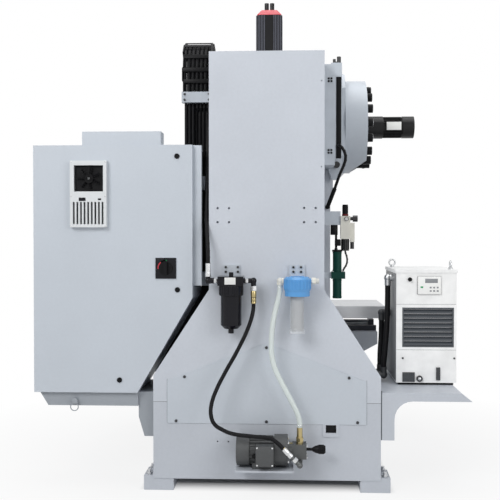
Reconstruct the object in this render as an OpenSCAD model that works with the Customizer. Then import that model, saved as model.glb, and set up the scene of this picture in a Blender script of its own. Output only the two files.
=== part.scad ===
// Vertical machining center without its enclosure.
// +X is the operator's right, +Y the rear, +Z up.
// The origin lies on the floor, at the centre of the four corner anchor holes.

/* [Bed] */
// Width of the bed casting
bed_w = 1394; // [1300:2:1460]
// From the origin to the bed's rear face
bed_rear = 1000; // [980:5:1080]
// From the origin to the bed's front face
bed_front = 1150; // [1145:5:1250]
// Height of the bed's top face
bed_top = 549; // [500:1:600]
// Free height under the bed between its feet
bed_clear = 74; // [50:1:84]
// Height of a foot lobe
foot_h = 90; // [86:1:120]
// Reach of a foot lobe beyond the bed's side
foot_out = 60; // [50:1:80]
// Width of a foot lobe
foot_w = 184; // [150:1:220]
// Length of a foot lobe
foot_l = 190; // [150:1:200]
// From the origin to the front and rear anchor holes
anchor_y = 900; // [850:5:900]
// Radius of an anchor hole
anchor_r = 13; // [8:0.5:18]

/* [Column] */
// Width of the box column
col_w = 704; // [680:2:720]
// Height of the column above the bed
col_h = 2144; // [2100:2:2200]
// Height of the foot's vertical sides above the bed
shoulder_h = 161; // [120:1:180]
// Height above the bed where the slanted foot meets the box
waist_h = 691; // [660:1:700]
// From the origin to the column's front guide face
col_front = 220; // [200:1:230]
// Width of the front guide flange
flange_w = 846; // [820:2:850]
// Depth of the front guide flange
flange_d = 80; // [60:1:90]
// Height of the Z motor seat on the column
seat_h = 100; // [80:1:120]
// Thickness of the rear cover plate
cover_t = 4; // [3:0.5:8]

/* [Guides and screws] */
// Width of a guide rail
rail_w = 45; // [35:1:55]
// Height of a guide rail
rail_h = 38; // [30:1:42]
// Running gap between a rail and its blocks
rail_gap = 0.5; // [0.4:0.1:1]
// Length of a guide block
block_l = 140; // [110:1:150]
// Radius of a ball screw
screw_r = 20; // [16:0.5:22]
// Radius of a screw's end journals
journal_r = 14; // [10:0.5:15]
// Radial running clearance of shafts in their holes
run_clear = 0.06; // [0.03:0.01:0.1]
// Half spacing of the Y rails
y_rail_x = 420; // [380:1:450]
// Half spacing of the Z rails
z_rail_x = 280; // [250:1:290]
// Half spacing of the X rails
x_rail_y = 210; // [190:1:230]

/* [Saddle and table] */
// From the origin forward to the spindle axis
spindle_reach = 480; // [460:1:500]
// Height of the space for the Y rails under the saddle
y_way_h = 80; // [76:1:90]
// Length of the saddle along X
saddle_l = 1600; // [1560:2:1660]
// Depth of the saddle along Y
saddle_d = 640; // [600:2:650]
// Thickness of the saddle
saddle_h = 221; // [200:1:240]
// Height of the space for the X rails under the table
x_way_h = 100; // [98:1:110]
// Length of the table along X
table_l = 1400; // [1300:2:1500]
// Width of the table along Y
table_w = 620; // [600:2:640]
// Thickness of the table
table_h = 90; // [80:1:110]
// Place of the table's centre along X at rest
table_x = -158; // [-170:1:-140]
// Width of a T-slot's neck
slot_w = 18; // [14:1:22]
// Depth of a T-slot's neck
slot_neck = 20; // [14:1:24]
// Width of a T-slot's head
slot_head_w = 30; // [26:1:36]
// Height of a T-slot's head
slot_head_h = 14; // [10:1:18]
// Spacing of the T-slots
slot_pitch = 110; // [90:1:120]
// Number of T-slots
slot_count = 5; // [3:2:5]

/* [Spindle head] */
// Height of the spindle nose above the table at rest
nose_over_table = 750; // [740:1:770]
// Width of the head's nose
head_w = 390; // [360:2:400]
// Height of the head casting above the spindle nose
head_top_h = 690; // [660:1:700]
// Radius of the spindle cartridge
cartridge_r = 105; // [95:1:120]
// Radius of the spindle shaft's nose
nose_r = 44; // [40:1:50]
// Radius of the taper's mouth
taper_r = 22.2; // [20:0.1:24]
// Depth of the taper
taper_depth = 65; // [55:1:75]

/* [Tool magazine] */
// Height of the magazine's axis above the spindle nose
mag_rise = 625; // [615:1:640]
// Outer radius of the drum cover
mag_r = 357; // [350:1:370]
// Width of the drum cover
mag_w = 165; // [158:1:185]
// Place of the drum's inner face along X
mag_x = -558; // [-570:1:-550]
// Number of tool pots
pot_count = 16; // [12:1:24]
// Radius of the ring of pots
pot_ring_r = 285; // [280:1:290]
// Radius of a tool pot
pot_r = 32; // [26:0.5:34]
// From the change arm's axis to its grips
arm_reach = 360; // [350:1:370]

/* [Electrical cabinet] */
// Inner side of the cabinet, toward the column
cab_x0 = 454; // [446:1:470]
// Width of the cabinet
cab_w = 986; // [940:2:1020]
// Height of the cabinet's bottom above the floor
cab_bottom = 601; // [590:1:620]
// Height of the cabinet
cab_h = 1525; // [1500:5:1600]
// Depth of the cabinet's shell
cab_d = 499; // [480:1:520]
// From the bed's side out to the cabinet's flat bottom
corner_out = 99; // [90:1:120]
// Height of the slanted corner
cut_h = 589; // [570:1:600]
// Thickness of the shell's sheet
wall = 6; // [3:0.5:8]
// Thickness of the door
door_t = 14; // [10:1:18]
// Gap between door and shell
door_gap = 0.6; // [0.4:0.1:1]

/* [Chiller] */
// Width of the chiller
chill_w = 382; // [360:2:400]
// Depth of the chiller
chill_d = 550; // [500:2:560]
// Height of the chiller's case
chill_h = 704; // [680:2:740]
// Height of the shelf's top above the floor
shelf_z = 613; // [600:1:620]
// Number of louvre slats
slat_count = 8; // [5:1:10]

/* [Filters and pump] */
// Height of the filter brackets' lower edge above the floor
filter_z = 1326; // [1310:1:1340]
// Radius of the pump motor
motor_r = 85; // [75:1:88]
// Height of the pump shelf's top above the floor
pump_shelf_z = 185; // [175:1:190]
// Height of the pump shaft above its shelf
pump_shaft_h = 100; // [95:1:105]

/* [Energy chain] */
// Width of the energy chain
chain_w = 196; // [180:1:205]
// Thickness of the energy chain
chain_t = 56; // [46:1:60]
// Bend radius of the chain's middle line
chain_bend = 175; // [160:1:180]
// Pitch of the chain's links
chain_pitch = 90; // [84:1:96]

/* [Hidden] */
$fn = 48;
cast_grey = "#d3d5d4";
sheet_grey = "#dcdedd";
steel = "#a9adb1";
dark = "#26282b";
cream = "#e6e1cf";

// Heights that follow from the stack of castings
shoulder_z = bed_top + shoulder_h;
waist_z = bed_top + waist_h;
col_top = bed_top + col_h;
saddle_z = bed_top + y_way_h;
saddle_top = saddle_z + saddle_h;
table_z = saddle_top + x_way_h;
table_top = table_z + table_h;
nose_z = table_top + nose_over_table;
head_top = nose_z + head_top_h;
spindle_y = -spindle_reach;

// Rear cover's outline
cover_half = bed_w / 2 - 87;
cover_low = bed_top - 132;
cover_side = bed_top + 131;
cover_top = bed_top + 366;

// Screw axes
y_screw_z = bed_top + 36;
x_screw_z = saddle_top + 32;
z_screw_y = col_front - 5;
support_h = 66;
nut_l = 120;
channel_w = 220;
channel_z = waist_z - 60;
motor_side = 116;
z_motor_side = 190;
z_motor_h = 345;

// Magazine and change arm
mag_y = spindle_y;
mag_z = nose_z + mag_rise;
hub_r = 50;
disc_x = mag_x - 45;
disc_t = 40;
pot_l = 123;
hub_out = 34;
arm_x = -arm_reach;
arm_z = nose_z - 90;
arm_t = 45;
arm_w = 76;
sleeve_r = 50;
shaft_r = 32;
gearbox_z = nose_z + 70;
gearbox_h = 200;

// Outer side and rear face of the arm that carries the magazine
carrier_x = -flange_w / 2 - 74;
carrier_rear = col_front + flange_d + 80;
// Depth of the arm's cable channel, where the magazine's lead begins
lead_in = 60;

// Cabinet outline
cab_x1 = cab_x0 + cab_w;
cut_w = bed_w / 2 + corner_out - cab_x0;
cut_x = cab_x0 + cut_w;
cab_top = cab_bottom + cab_h;
door_y = bed_rear;
cab_y1 = door_y - door_t - door_gap;
cab_y0 = cab_y1 - cab_d;
hinge_r = 4;
hinge_l = 30;
hinge_gap = 0.3;
hinge_zs = [cab_bottom + 180, cab_bottom + 770, cab_bottom + 1360];
lock_r = 11;
lock_at = [
    [cab_x0 + 94, cab_top - 70], [cab_x0 + 92, cab_bottom + cut_h + 48], [cut_x + 110, cab_bottom + 79]
];
switch_at = [cab_x0 + 163, cab_bottom + 769];
switch_side = 130;
switch_shaft_r = 6;
unit_x = [cab_x0 + 524, cab_x0 + 749];
unit_z = [cab_top - 505, cab_top - 97];
unit_t = 32;
fan_at = [unit_x[0] + 110, unit_z[1] - 109];
fan_r = 72;
fan_pin_r = 6;

// Chiller
chill_x1 = -bed_w / 2 - 127;
chill_x0 = chill_x1 - chill_w;
chill_y1 = bed_rear - 280;
chill_y0 = chill_y1 - chill_d;
chill_z = shelf_z + 15;
chill_top = chill_z + chill_h;
louvre_x = [chill_x0 + 16, chill_x1 - 38];
louvre_z = [chill_z + 228, chill_z + 482];
louvre_d = 20;
knob_at = [chill_x1 - 86, chill_z + 662];
knob_shaft_r = 4;

// Pump and filters
pump_y = bed_rear + 100;
pump_z = pump_shelf_z + pump_shaft_h;
filter_y = bed_rear + 76;
blue_y = bed_rear + 93;
black_x = 211;
blue_x = -187;
port_z = filter_z - 27;
handle_r = 26;
handle_shaft_r = 9;

// Air unit
air_x = -col_w / 2 - 156;
air_half = 31.5;
dryer_x = air_x + 52;
air_y = 560;
air_z = 1548;

// Energy chain
chain_x0 = col_w / 2 + 6;
chain_y = 700;
chain_z = col_top - 195;
chain_rise = 149;
chain_top_z = chain_z + chain_rise;
carrier_top = nose_z + 410;
chain_end_z = carrier_top + 2.5;

// Hose routes, chosen by hand: Y from the bed's rear face, or X from the bed's side
hose_r = 18;
black_r = 12;
clear_r = 16;
black_run = [
    [76, 76, 1170], [76, 76, 1140], [84, 88, 1090], [110, 100, 1010], [172, 110, 880],
    [248, 120, 744], [300, 140, 638], [324, 160, 560], [324, 176, 506], [304, 188, 458],
    [250, 200, 424], [206, 208, 408], [160, 213, 400], [110, 217, 396], [60, 220, 392],
    [8, 220, 389], [-34, 220, 381], [-70, 220, 357], [-103, 220, 324]
];
clear_run = [
    [-83, 93, 1275], [-83, 93, 1250], [-77, 94, 1205], [-63, 95, 1150], [-48, 96, 1085], [-37, 97, 1010],
    [-32, 98, 935], [-33, 99, 870], [-43, 100, 812], [-63, 101, 752], [-94, 102, 690],
    [-130, 104, 622], [-165, 105, 555], [-191, 105, 498], [-202, 105, 450], [-202, 105, 422]
];
supply_run = [
    [-96, 520, 1240], [-96, 520, 1215], [-96, 522, 1180], [-95, 525, 1140], [-94, 530, 1100],
    [-92, 536, 1060], [-90, 543, 1020], [-87, 550, 980], [-84, 557, 940], [-81, 564, 900],
    [-77, 570, 860], [-74, 575, 825], [-70, 580, 790], [-66, 584, 758], [-63, 586, 732],
    [-63, 586, 707]
];
return_run = [
    [-67, 420, 1000], [-67, 420, 980], [-67, 421, 955], [-66, 423, 930], [-65, 426, 905],
    [-64, 430, 885], [-62, 435, 865], [-60, 441, 845], [-58, 447, 825], [-56, 454, 805],
    [-54, 461, 785], [-53, 467, 767], [-52, 473, 752], [-51, 479, 738], [-51, 482, 724],
    [-51, 482, 707]
];
// Up from the filter's inlet, round the column's edge and up the gap to the energy chain's bracket
inlet_run = [
    [-2, 76, 1405], [-2, 76, 1440], [-1, 72, 1480], [2, 60, 1525], [6, 40, 1570], [11, 12, 1615],
    [16, -18, 1660], [19, -45, 1710], [20, -65, 1765], [20, -78, 1825], [20, -90, 1900],
    [20, -105, 1980], [20, -130, 2060], [20, -160, 2140], [20, -194, 2220], [20, -232, 2300],
    [20, -266, 2365], [20, -287, 2405]
];
black_route = [for (p = black_run) p + [0, bed_rear, 0]];
clear_route = [for (p = clear_run) p + [0, bed_rear, 0]];
supply_route = [for (p = supply_run) p - [bed_w / 2, 0, 0]];
return_route = [for (p = return_run) p - [bed_w / 2, 0, 0]];
inlet_route = concat(
    [for (p = inlet_run) p + [col_w / 2, bed_rear, 0]], [[col_w / 2 + 20, chain_y + 13, chain_z - 70]]
);

// Shared shapes

// The two ends of a stretch about its middle
function span(mid, half) = [mid - half, mid + half];

module block(x, y, z) {
    translate([x[0], y[0], z[0]]) cube([x[1] - x[0], y[1] - y[0], z[1] - z[0]]);
}

module rod_x(x, y, z, r) {
    translate([x[0], y, z]) rotate([0, 90, 0]) cylinder(h = x[1] - x[0], r = r);
}

module rod_y(x, y, z, r) {
    translate([x, y[0], z]) rotate([-90, 0, 0]) cylinder(h = y[1] - y[0], r = r);
}

module rod_z(x, y, z, r) {
    translate([x, y, z[0]]) cylinder(h = z[1] - z[0], r = r);
}

// An outline in X and Z, extruded along Y
module slab_y(points, y) {
    translate([0, y[1], 0]) rotate([90, 0, 0]) linear_extrude(y[1] - y[0]) polygon(points);
}

// An outline in Y and Z, extruded along X
module slab_x(points, x) {
    translate([x[0], 0, 0]) rotate([90, 0, 90]) linear_extrude(x[1] - x[0]) polygon(points);
}

// A round bar from one point to another
module bar(from, to, r) {
    d = to - from;
    flat = norm([d[0], d[1]]);
    translate(from) rotate([0, atan2(flat, d[2]), atan2(d[1], d[0])]) cylinder(h = norm(d), r = r);
}

module both_sides() {
    children();
    mirror([1, 0, 0]) children();
}

// A hexagon-headed screw standing on a face that looks up
module hex_head(x, y, z, r, h) {
    translate([x, y, z]) cylinder(h = h, r = r, $fn = 6);
}

// A hexagon-headed screw on a face that looks to the rear
module rear_head(x, y, z, r, h) {
    translate([x, y, z]) rotate([-90, 0, 0]) cylinder(h = h, r = r, $fn = 6);
}

// A tube swept along a route, with one ring of corners for each point
function unit(v) = v / norm(v);
function run(p, i) = unit(p[min(i + 1, len(p) - 1)] - p[max(i - 1, 0)]);
function ring(p, i, r, side, n) =
    let (t = run(p, i), u = unit(cross(t, side)), w = cross(u, t))
    [for (k = [0 : n - 1]) p[i] + r * (cos(360 * k / n) * u + sin(360 * k / n) * w)];

module tube(p, r, side, n = 10) {
    last = len(p) - 1;
    corners = [for (i = [0 : last]) each ring(p, i, r, side, n)];
    walls = [
        for (i = [0 : last - 1], k = [0 : n - 1])
            let (a = i * n + k, b = i * n + (k + 1) % n)
            each [[a, b, b + n], [a, b + n, a + n]]
    ];
    ends = [[for (k = [n - 1 : -1 : 0]) k], [for (k = [0 : n - 1]) last * n + k]];
    polyhedron(corners, concat(walls, ends), convexity = 6);
}

// The cabinet's outline in X and Z, set in from its edges
function cab_outline(inset) =
    let (slant = norm([cut_w, cut_h]), nx = cut_h / slant, nz = cut_w / slant)
    [
        [cab_x0 + inset, cab_top - inset],
        [cab_x1 - inset, cab_top - inset],
        [cab_x1 - inset, cab_bottom + inset],
        [cut_x + inset * (1 - nz) / nx, cab_bottom + inset],
        [cab_x0 + inset, cab_bottom + cut_h + inset * (1 - nx) / nz]
    ];

// A guide block around a rail that runs along Y, under a carriage
module y_block(x, y) {
    rail_side = rail_w / 2 + rail_gap;
    difference() {
        block([x - 50, x + 50], [y - block_l / 2, y + block_l / 2], [bed_top + 10, saddle_z]);
        block(span(x, rail_side), span(y, block_l), [0, bed_top + rail_h + rail_gap]);
    }
}

module x_block(x, y) {
    rail_side = rail_w / 2 + rail_gap;
    difference() {
        block([x - block_l / 2, x + block_l / 2], [y - 50, y + 50], [saddle_top + 10, table_z]);
        block(span(x, block_l), span(y, rail_side), [0, saddle_top + rail_h + rail_gap]);
    }
}

module z_block(x, z) {
    rail_side = rail_w / 2 + rail_gap;
    face = col_front - rail_h - rail_gap;
    difference() {
        block([x - 50, x + 50], [col_front - 90, col_front - 12], [z - block_l / 2, z + block_l / 2]);
        block([x - rail_side, x + rail_side], [face, col_front], [z - block_l, z + block_l]);
    }
}

// A servo motor standing on a face along +Z: flange, fluted body, encoder cap and plugs
module servo(side, length) {
    cap = length * 0.12;
    plug = side * 0.08;
    cap_outline = [
        [-side * 0.44, length - cap], [side * 0.44, length - cap],
        [side * 0.27, length], [-side * 0.27, length]
    ];
    translate([-side / 2, -side / 2, 0]) cube([side, side, side * 0.12]);
    intersection() {
        translate([-side * 0.46, -side * 0.46, 0]) cube([side * 0.92, side * 0.92, length - cap]);
        cylinder(h = length, r = side * 0.58);
    }
    intersection() {
        translate([0, side / 2, 0]) rotate([90, 0, 0]) linear_extrude(height = side) polygon(cap_outline);
        translate([-side / 2, 0, 0]) rotate([90, 0, 90]) linear_extrude(height = side) polygon(cap_outline);
    }
    for (s = [-1, 1]) {
        translate([s * side * 0.1, side * 0.1, length]) cylinder(h = side * 0.28, r = plug);
    }
}

// Bed and column

module bed() {
    side = bed_w / 2;
    port = [[-426, -362], [366, 415]];
    lip = 18;
    color(cast_grey) difference() {
        union() {
            block([-side, side], [col_front, bed_rear], [bed_clear, bed_top]);
            slab_y([
                [-side, bed_clear], [side, bed_clear], [side, bed_top - 90], [side - 130, bed_top],
                [130 - side, bed_top], [-side, bed_top - 90]
            ], [-bed_front, col_front]);
            both_sides() for (y = [-anchor_y, 0, anchor_y]) {
                block([side + foot_out - foot_w, side + foot_out], span(y, foot_l / 2), [0, foot_h]);
            }
            block(port[0] + [-lip, lip], [bed_rear, bed_rear + 6], port[1] + [-lip - 6, 2]);
        }
        both_sides() for (y = [-anchor_y, 0, anchor_y]) {
            rod_z(side + foot_out / 2, y, [-1, foot_h + 1], anchor_r);
        }
        block(port[0], [bed_rear - 60, bed_rear + 10], port[1]);
        for (x = [233, 299]) rod_y(x, [bed_rear - 30, bed_rear + 1], 306, 5);
    }
}

module fasteners() {
    side = bed_w / 2 + foot_out / 2;
    face = bed_rear + cover_t;
    color(steel) {
        both_sides() for (y = [-anchor_y, 0, anchor_y], s = [-1, 1]) {
            hex_head(side, y + s * foot_l * 0.34, foot_h, 17, 14);
            rod_z(side, y + s * foot_l * 0.34, [foot_h + 14, foot_h + 30], 11);
        }
        both_sides() for (p = [[cover_half - 107, cover_side + 24], [cover_half - 55, cover_low + 15]]) {
            rod_y(p[0], [face, face + 5], p[1], 9);
        }
        for (z = [cover_top - 29, cover_low + 15]) rod_y(0, [face, face + 5], z, 9);
    }
}

module column() {
    half = col_w / 2;
    foot = bed_w / 2;
    color(cast_grey) difference() {
        union() {
            slab_y([
                [-foot, bed_top], [foot, bed_top], [foot, shoulder_z], [half, waist_z], [half, col_top],
                [-half, col_top], [-half, waist_z], [-foot, shoulder_z]
            ], [col_front + flange_d, bed_rear]);
            block([-flange_w / 2, flange_w / 2], [col_front, col_front + flange_d], [bed_top, col_top]);
            block([-130, 130], [z_screw_y - 125, z_screw_y + 185], [col_top, col_top + seat_h]);
        }
        block([-channel_w / 2, channel_w / 2], [col_front - 1, col_front + flange_d], [channel_z, col_top]);
        rod_z(0, z_screw_y, [channel_z - 60, col_top + seat_h + 1], journal_r + run_clear);
        both_sides() for (x = [half - 123, half - 53], z = [waist_z + 412, waist_z + 498]) {
            rod_y(x, [bed_rear - 25, bed_rear + 1], z, 7);
        }
        for (z = [col_top - 704, col_top - 184]) rod_y(18 - half, [bed_rear - 12, bed_rear + 1], z, 4);
    }
}

module rear_cover() {
    half = cover_half;
    color(sheet_grey) slab_y([
        [-half, cover_low], [half, cover_low], [half, cover_side], [0, cover_top], [-half, cover_side]
    ], [bed_rear, bed_rear + cover_t]);
}

module guide_rails() {
    color(steel) {
        both_sides() block(
            [z_rail_x - rail_w / 2, z_rail_x + rail_w / 2], [col_front - rail_h, col_front],
            [channel_z, col_top - 10]
        );
        both_sides() block(
            [y_rail_x - rail_w / 2, y_rail_x + rail_w / 2], [20 - bed_front, col_front - 20],
            [bed_top, bed_top + rail_h]
        );
        for (y = [[-bed_front, 45 - bed_front], [col_front - 70, col_front - 30]]) difference() {
            block([-60, 60], y, [bed_top, bed_top + support_h]);
            rod_y(0, y + [-1, 1], y_screw_z, journal_r + run_clear);
        }
    }
}

module y_motor() {
    plate = 25;
    color(dark) {
        block([-75, 75], [-bed_front - plate, -bed_front], [bed_top - 110, y_screw_z + 75]);
        translate([0, -bed_front - plate, y_screw_z]) rotate([90, 0, 0]) servo(motor_side, 240);
    }
}

module z_motor() {
    color(dark) translate([0, z_screw_y, col_top + seat_h]) servo(z_motor_side, z_motor_h);
}

// Energy chain and what carries it

// One link, which laps over its neighbours at both ends of its pitch; every other one is narrower
module chain_link(i, pitch) {
    lap = 4;
    skin = 9;
    width = chain_w - 8 * (i % 2);
    difference() {
        cube([width, chain_t, pitch + lap], center = true);
        cube([width - 2 * skin, chain_t - 2 * skin, pitch + lap + 2], center = true);
    }
}

module energy_chain() {
    mid_x = chain_x0 + chain_w / 2;
    mid_y = chain_y - chain_bend;
    rise = round(chain_rise / chain_pitch);
    turn = round(PI * chain_bend / chain_pitch);
    drop = round((chain_top_z - chain_end_z) / chain_pitch);
    rise_pitch = chain_rise / rise;
    drop_pitch = (chain_top_z - chain_end_z) / drop;
    color(dark) {
        for (i = [0 : rise - 1]) {
            translate([mid_x, chain_y, chain_top_z - (i + 0.5) * rise_pitch]) chain_link(i, rise_pitch);
        }
        for (i = [0 : turn - 1]) {
            a = (i + 0.5) * 180 / turn;
            translate([mid_x, mid_y + chain_bend * cos(a), chain_top_z + chain_bend * sin(a)])
                rotate([a, 0, 0]) chain_link(i + 1, PI * chain_bend / turn);
        }
        for (i = [0 : drop - 1]) {
            translate([mid_x, mid_y - chain_bend, chain_top_z - (i + 0.5) * drop_pitch])
                chain_link(i + turn + 1, drop_pitch);
        }
    }
}

module brackets() {
    side = col_w / 2;
    chain_y1 = chain_y + chain_t / 2;
    filter_t = 12;
    color(steel) {
        block([side, chain_x0 + chain_w], [chain_y - chain_t / 2, chain_y1], [chain_z - 70, chain_z - 2]);
        for (x = [0.1, 0.9], z = [18, 54]) {
            rear_head(chain_x0 + x * chain_w, chain_y1, chain_z - z, 8, 7);
        }
        for (z = [cab_bottom + 645, cab_bottom + 1269]) block([side, cab_x0], [570, 700], [z, z + 85]);
        block([air_x + air_half, -side], span(air_y, 20), [air_z + 92, air_z + 182]);
        block([dryer_x + 40, -side], span(air_y, 15), [air_z - 258, air_z - 220]);
        for (plate = [[black_x, 37], [blue_x, 23]]) {
            x = plate[0];
            block([x - 48, x + 48], [bed_rear, bed_rear + filter_t], [filter_z - 40, filter_z + 66]);
            for (dx = [-1, 1] * plate[1], dz = [24, 52]) {
                rear_head(x + dx, bed_rear + filter_t, filter_z + dz, 8, 7);
            }
        }
    }
}

// Cables from the chain: some go down into the cabinet's top, the rest behind it into its front
module cable_bundle() {
    r = 10;
    bend_r = r + 1;
    gap = 3;
    pitch = 2 * r + gap;
    top = chain_z - 70;
    fall = [top - 28, cab_top + 24];
    y = [chain_y - 12, cab_y0 - 26];
    into_x = cab_x0 + 40;
    color(dark) {
        for (i = [0 : 4]) {
            x = col_w / 2 + gap + r + pitch * i;
            low = cab_bottom + cut_h + 70 + pitch * i;
            rod_z(x, y[0], [fall[0], top], r);
            translate([x, y[0], fall[0]]) sphere(r = bend_r);
            bar([x, y[0], fall[0]], [x, y[1], fall[1]], r);
            translate([x, y[1], fall[1]]) sphere(r = bend_r);
            rod_z(x, y[1], [low, fall[1]], r);
            translate([x, y[1], low]) sphere(r = bend_r);
            rod_x([x, into_x], y[1], low, r);
            translate([into_x, y[1], low]) sphere(r = bend_r);
            rod_y(into_x, [y[1], cab_y0], low, r);
        }
        for (i = [0 : 2]) rod_z(cab_x0 + 30 + pitch * i, y[0], [cab_top, top], r);
        magazine_lead(r);
        lead(inlet_route, black_r);
    }
}

// A cable, hose or tube along its points
module lead(run, r) {
    last = len(run) - 1;
    for (i = [1 : last]) bar(run[i - 1], run[i], r);
    for (i = [1 : last - 1]) translate(run[i]) sphere(r = r + 1);
}

// The magazine's lead: out of the arm's channel, over and down to its socket on the column's flange
module magazine_lead(r) {
    flange = [-flange_w / 2 + 21, col_front + flange_d];
    plug_r = r + 4;
    run = [for (p = [
        [22, -lead_in, -231], [22, 10, -231], [16, 46, -237], [4, 75, -253], [-9, 95, -278],
        [-18, 104, -310], [-17, 104, -342], [-8, 102, -372], [22, 96, -440], [52, 66, -530]
    ]) [carrier_x + p[0], carrier_rear + p[1], mag_z + p[2]]];
    last = len(run) - 1;
    socket = [flange[0], flange[1] + 58, mag_z - 648];
    lead(run, r);
    translate(run[last]) sphere(r = r + 1);
    bar(run[last], socket, plug_r);
    translate(socket) sphere(r = plug_r + 2);
    rod_y(socket[0], [flange[1], socket[1]], socket[2], plug_r);
}

// Tool changer

module magazine_bracket() {
    side = -col_w / 2;
    flange = -flange_w / 2;
    plate = 30;
    corner = 120;
    carrier_low = gearbox_z + gearbox_h;
    arm_top = mag_z + 331;
    y = [mag_y - mag_r + 20, mag_y + mag_r - 20];
    z = [mag_z - mag_r - 15, mag_z + mag_r + 18];
    color(sheet_grey) {
        block([flange - 12, side], [col_front + flange_d, 640], [mag_z - 385, mag_z + 268]);
        difference() {
            block([carrier_x, flange], [mag_y - 160, carrier_rear], [carrier_low, arm_top]);
            block(
                [carrier_x + 4, carrier_x + 40], [carrier_rear - lead_in, carrier_rear + 1],
                [mag_z - 320, mag_z + 235]
            );
        }
        slab_y([
            [carrier_x, carrier_low], [flange + 30, carrier_low], [flange - 6, carrier_low - 108],
            [carrier_x + 32, carrier_low - 108], [carrier_x, carrier_low - 76]
        ], [col_front + flange_d, carrier_rear]);
        rod_y(carrier_x + 37, [carrier_rear, carrier_rear + 40], carrier_low - 10, 22);
        block([mag_x + plate, carrier_x], [mag_y - 140, mag_y + 140], [mag_z - 180, mag_z + 200]);
        slab_x([
            [y[0], z[0] + corner], [y[0] + corner, z[0]], [y[1] - corner, z[0]], [y[1], z[0] + corner],
            [y[1], z[1] - corner], [y[1] - corner, z[1]], [y[0] + corner, z[1]], [y[0], z[1] - corner]
        ], [mag_x, mag_x + plate]);
        rod_x([mag_x - mag_w - hub_out, mag_x + plate], mag_y, mag_z, hub_r);
        rod_x([carrier_x + 16, carrier_x + 48], carrier_rear - 80, arm_top + 16, 8);
        rod_z(carrier_x + 16, carrier_rear - 80, [arm_top, arm_top + 56], 14);
        rod_z(carrier_x + 48, carrier_rear - 80, [arm_top, arm_top + 40], 10);
    }
}

module magazine_cover() {
    shell = 8;
    out = mag_x - mag_w;
    low = mag_z - mag_r;
    color(sheet_grey) difference() {
        rod_x([out, mag_x], mag_y, mag_z, mag_r);
        rod_x([out - 1, mag_x + 1], mag_y, mag_z, mag_r - shell);
        slab_y([
            [out - 1, low - 1], [out - 1, low + 80], [out + 110, low + shell], [out + 110, low - 1]
        ], [mag_y - mag_r, mag_y + mag_r]);
    }
}

module magazine_gearmotor() {
    x = mag_x - mag_w - hub_out;
    color(dark) {
        rod_x([x - 110, x], mag_y, mag_z, 87);
        rod_x([x - 260, x - 110], mag_y, mag_z, 74);
        rod_x([x - 350, x - 260], mag_y, mag_z, 85);
        block([x - 250, x - 130], [mag_y + 60, mag_y + 98], [mag_z - 34, mag_z + 34]);
    }
}

module arm_gearbox() {
    x = [arm_x - 110, arm_x + 85];
    y = [mag_y - 160, mag_y + 240];
    color(cast_grey) difference() {
        block(x, y, [gearbox_z, gearbox_z + gearbox_h]);
        rod_z(arm_x, spindle_y, [gearbox_z - 1, gearbox_z + 150], sleeve_r + run_clear);
    }
}

module magazine_disc() {
    color(steel) difference() {
        rod_x([disc_x - disc_t, disc_x], mag_y, mag_z, pot_ring_r + pot_r);
        rod_x([disc_x - disc_t - 1, disc_x + 1], mag_y, mag_z, hub_r + run_clear);
        for (i = [0 : 5]) {
            y = mag_y + 150 * cos(60 * i);
            z = mag_z + 150 * sin(60 * i);
            rod_x([disc_x - disc_t - 1, disc_x + 1], y, z, 50);
        }
    }
}

module tool_pots() {
    x = disc_x - disc_t;
    color(dark) for (i = [0 : pot_count - 1]) {
        a = 360 * i / pot_count;
        y = mag_y + pot_ring_r * sin(a);
        z = mag_z - pot_ring_r * cos(a);
        difference() {
            union() {
                rod_x([x - pot_l, x], y, z, pot_r);
                rod_x([x - pot_l * 0.7, x - pot_l * 0.55], y, z, pot_r + 3);
            }
            rod_x([x - pot_l - 1, x - pot_l + taper_depth], y, z, taper_r);
        }
    }
}

module arm_sleeve() {
    color(steel) difference() {
        union() {
            rod_z(arm_x, spindle_y, [gearbox_z - 30, gearbox_z + 149], sleeve_r);
            rod_z(arm_x, spindle_y, [gearbox_z - 30, gearbox_z - 0.3], sleeve_r + 14);
        }
        rod_z(arm_x, spindle_y, [gearbox_z - 31, gearbox_z + 150], shaft_r + run_clear);
    }
}

module change_arm() {
    grip_r = 52;
    color(steel) {
        rod_z(arm_x, spindle_y, [arm_z, gearbox_z + 140], shaft_r);
        difference() {
            union() {
                rod_z(arm_x, spindle_y, [arm_z, arm_z + arm_t], 62);
                block([arm_x - arm_w / 2, arm_x + arm_w / 2],
                    [spindle_y - arm_reach, spindle_y + arm_reach], [arm_z, arm_z + arm_t]);
                for (s = [-1, 1]) rod_z(arm_x, spindle_y + s * arm_reach, [arm_z, arm_z + arm_t], grip_r);
            }
            for (s = [-1, 1]) {
                rod_z(arm_x, spindle_y + s * arm_reach, [arm_z - 1, arm_z + arm_t + 1], grip_r - 20);
                translate([arm_x, spindle_y + s * arm_reach, arm_z - 1])
                    rotate([0, 0, s * 90 - 90]) cube([grip_r + 2, grip_r + 2, arm_t + 2]);
            }
        }
    }
}

// Axes

module saddle() {
    half = saddle_l / 2;
    y = [spindle_y - saddle_d / 2, spindle_y + saddle_d / 2];
    nut_y = [spindle_y - nut_l / 2, spindle_y + nut_l / 2];
    color(cast_grey) {
        slab_y([
            [-half, saddle_top], [-half, saddle_top - 90], [240 - half, saddle_z], [half - 240, saddle_z],
            [half, saddle_top - 90], [half, saddle_top]
        ], y);
        both_sides() for (s = [-1, 1]) y_block(y_rail_x, spindle_y + s * 230);
        difference() {
            block([-50, 50], nut_y, [bed_top + 8, saddle_z]);
            rod_y(0, nut_y + [-1, 1], y_screw_z, screw_r + run_clear);
        }
    }
}

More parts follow.
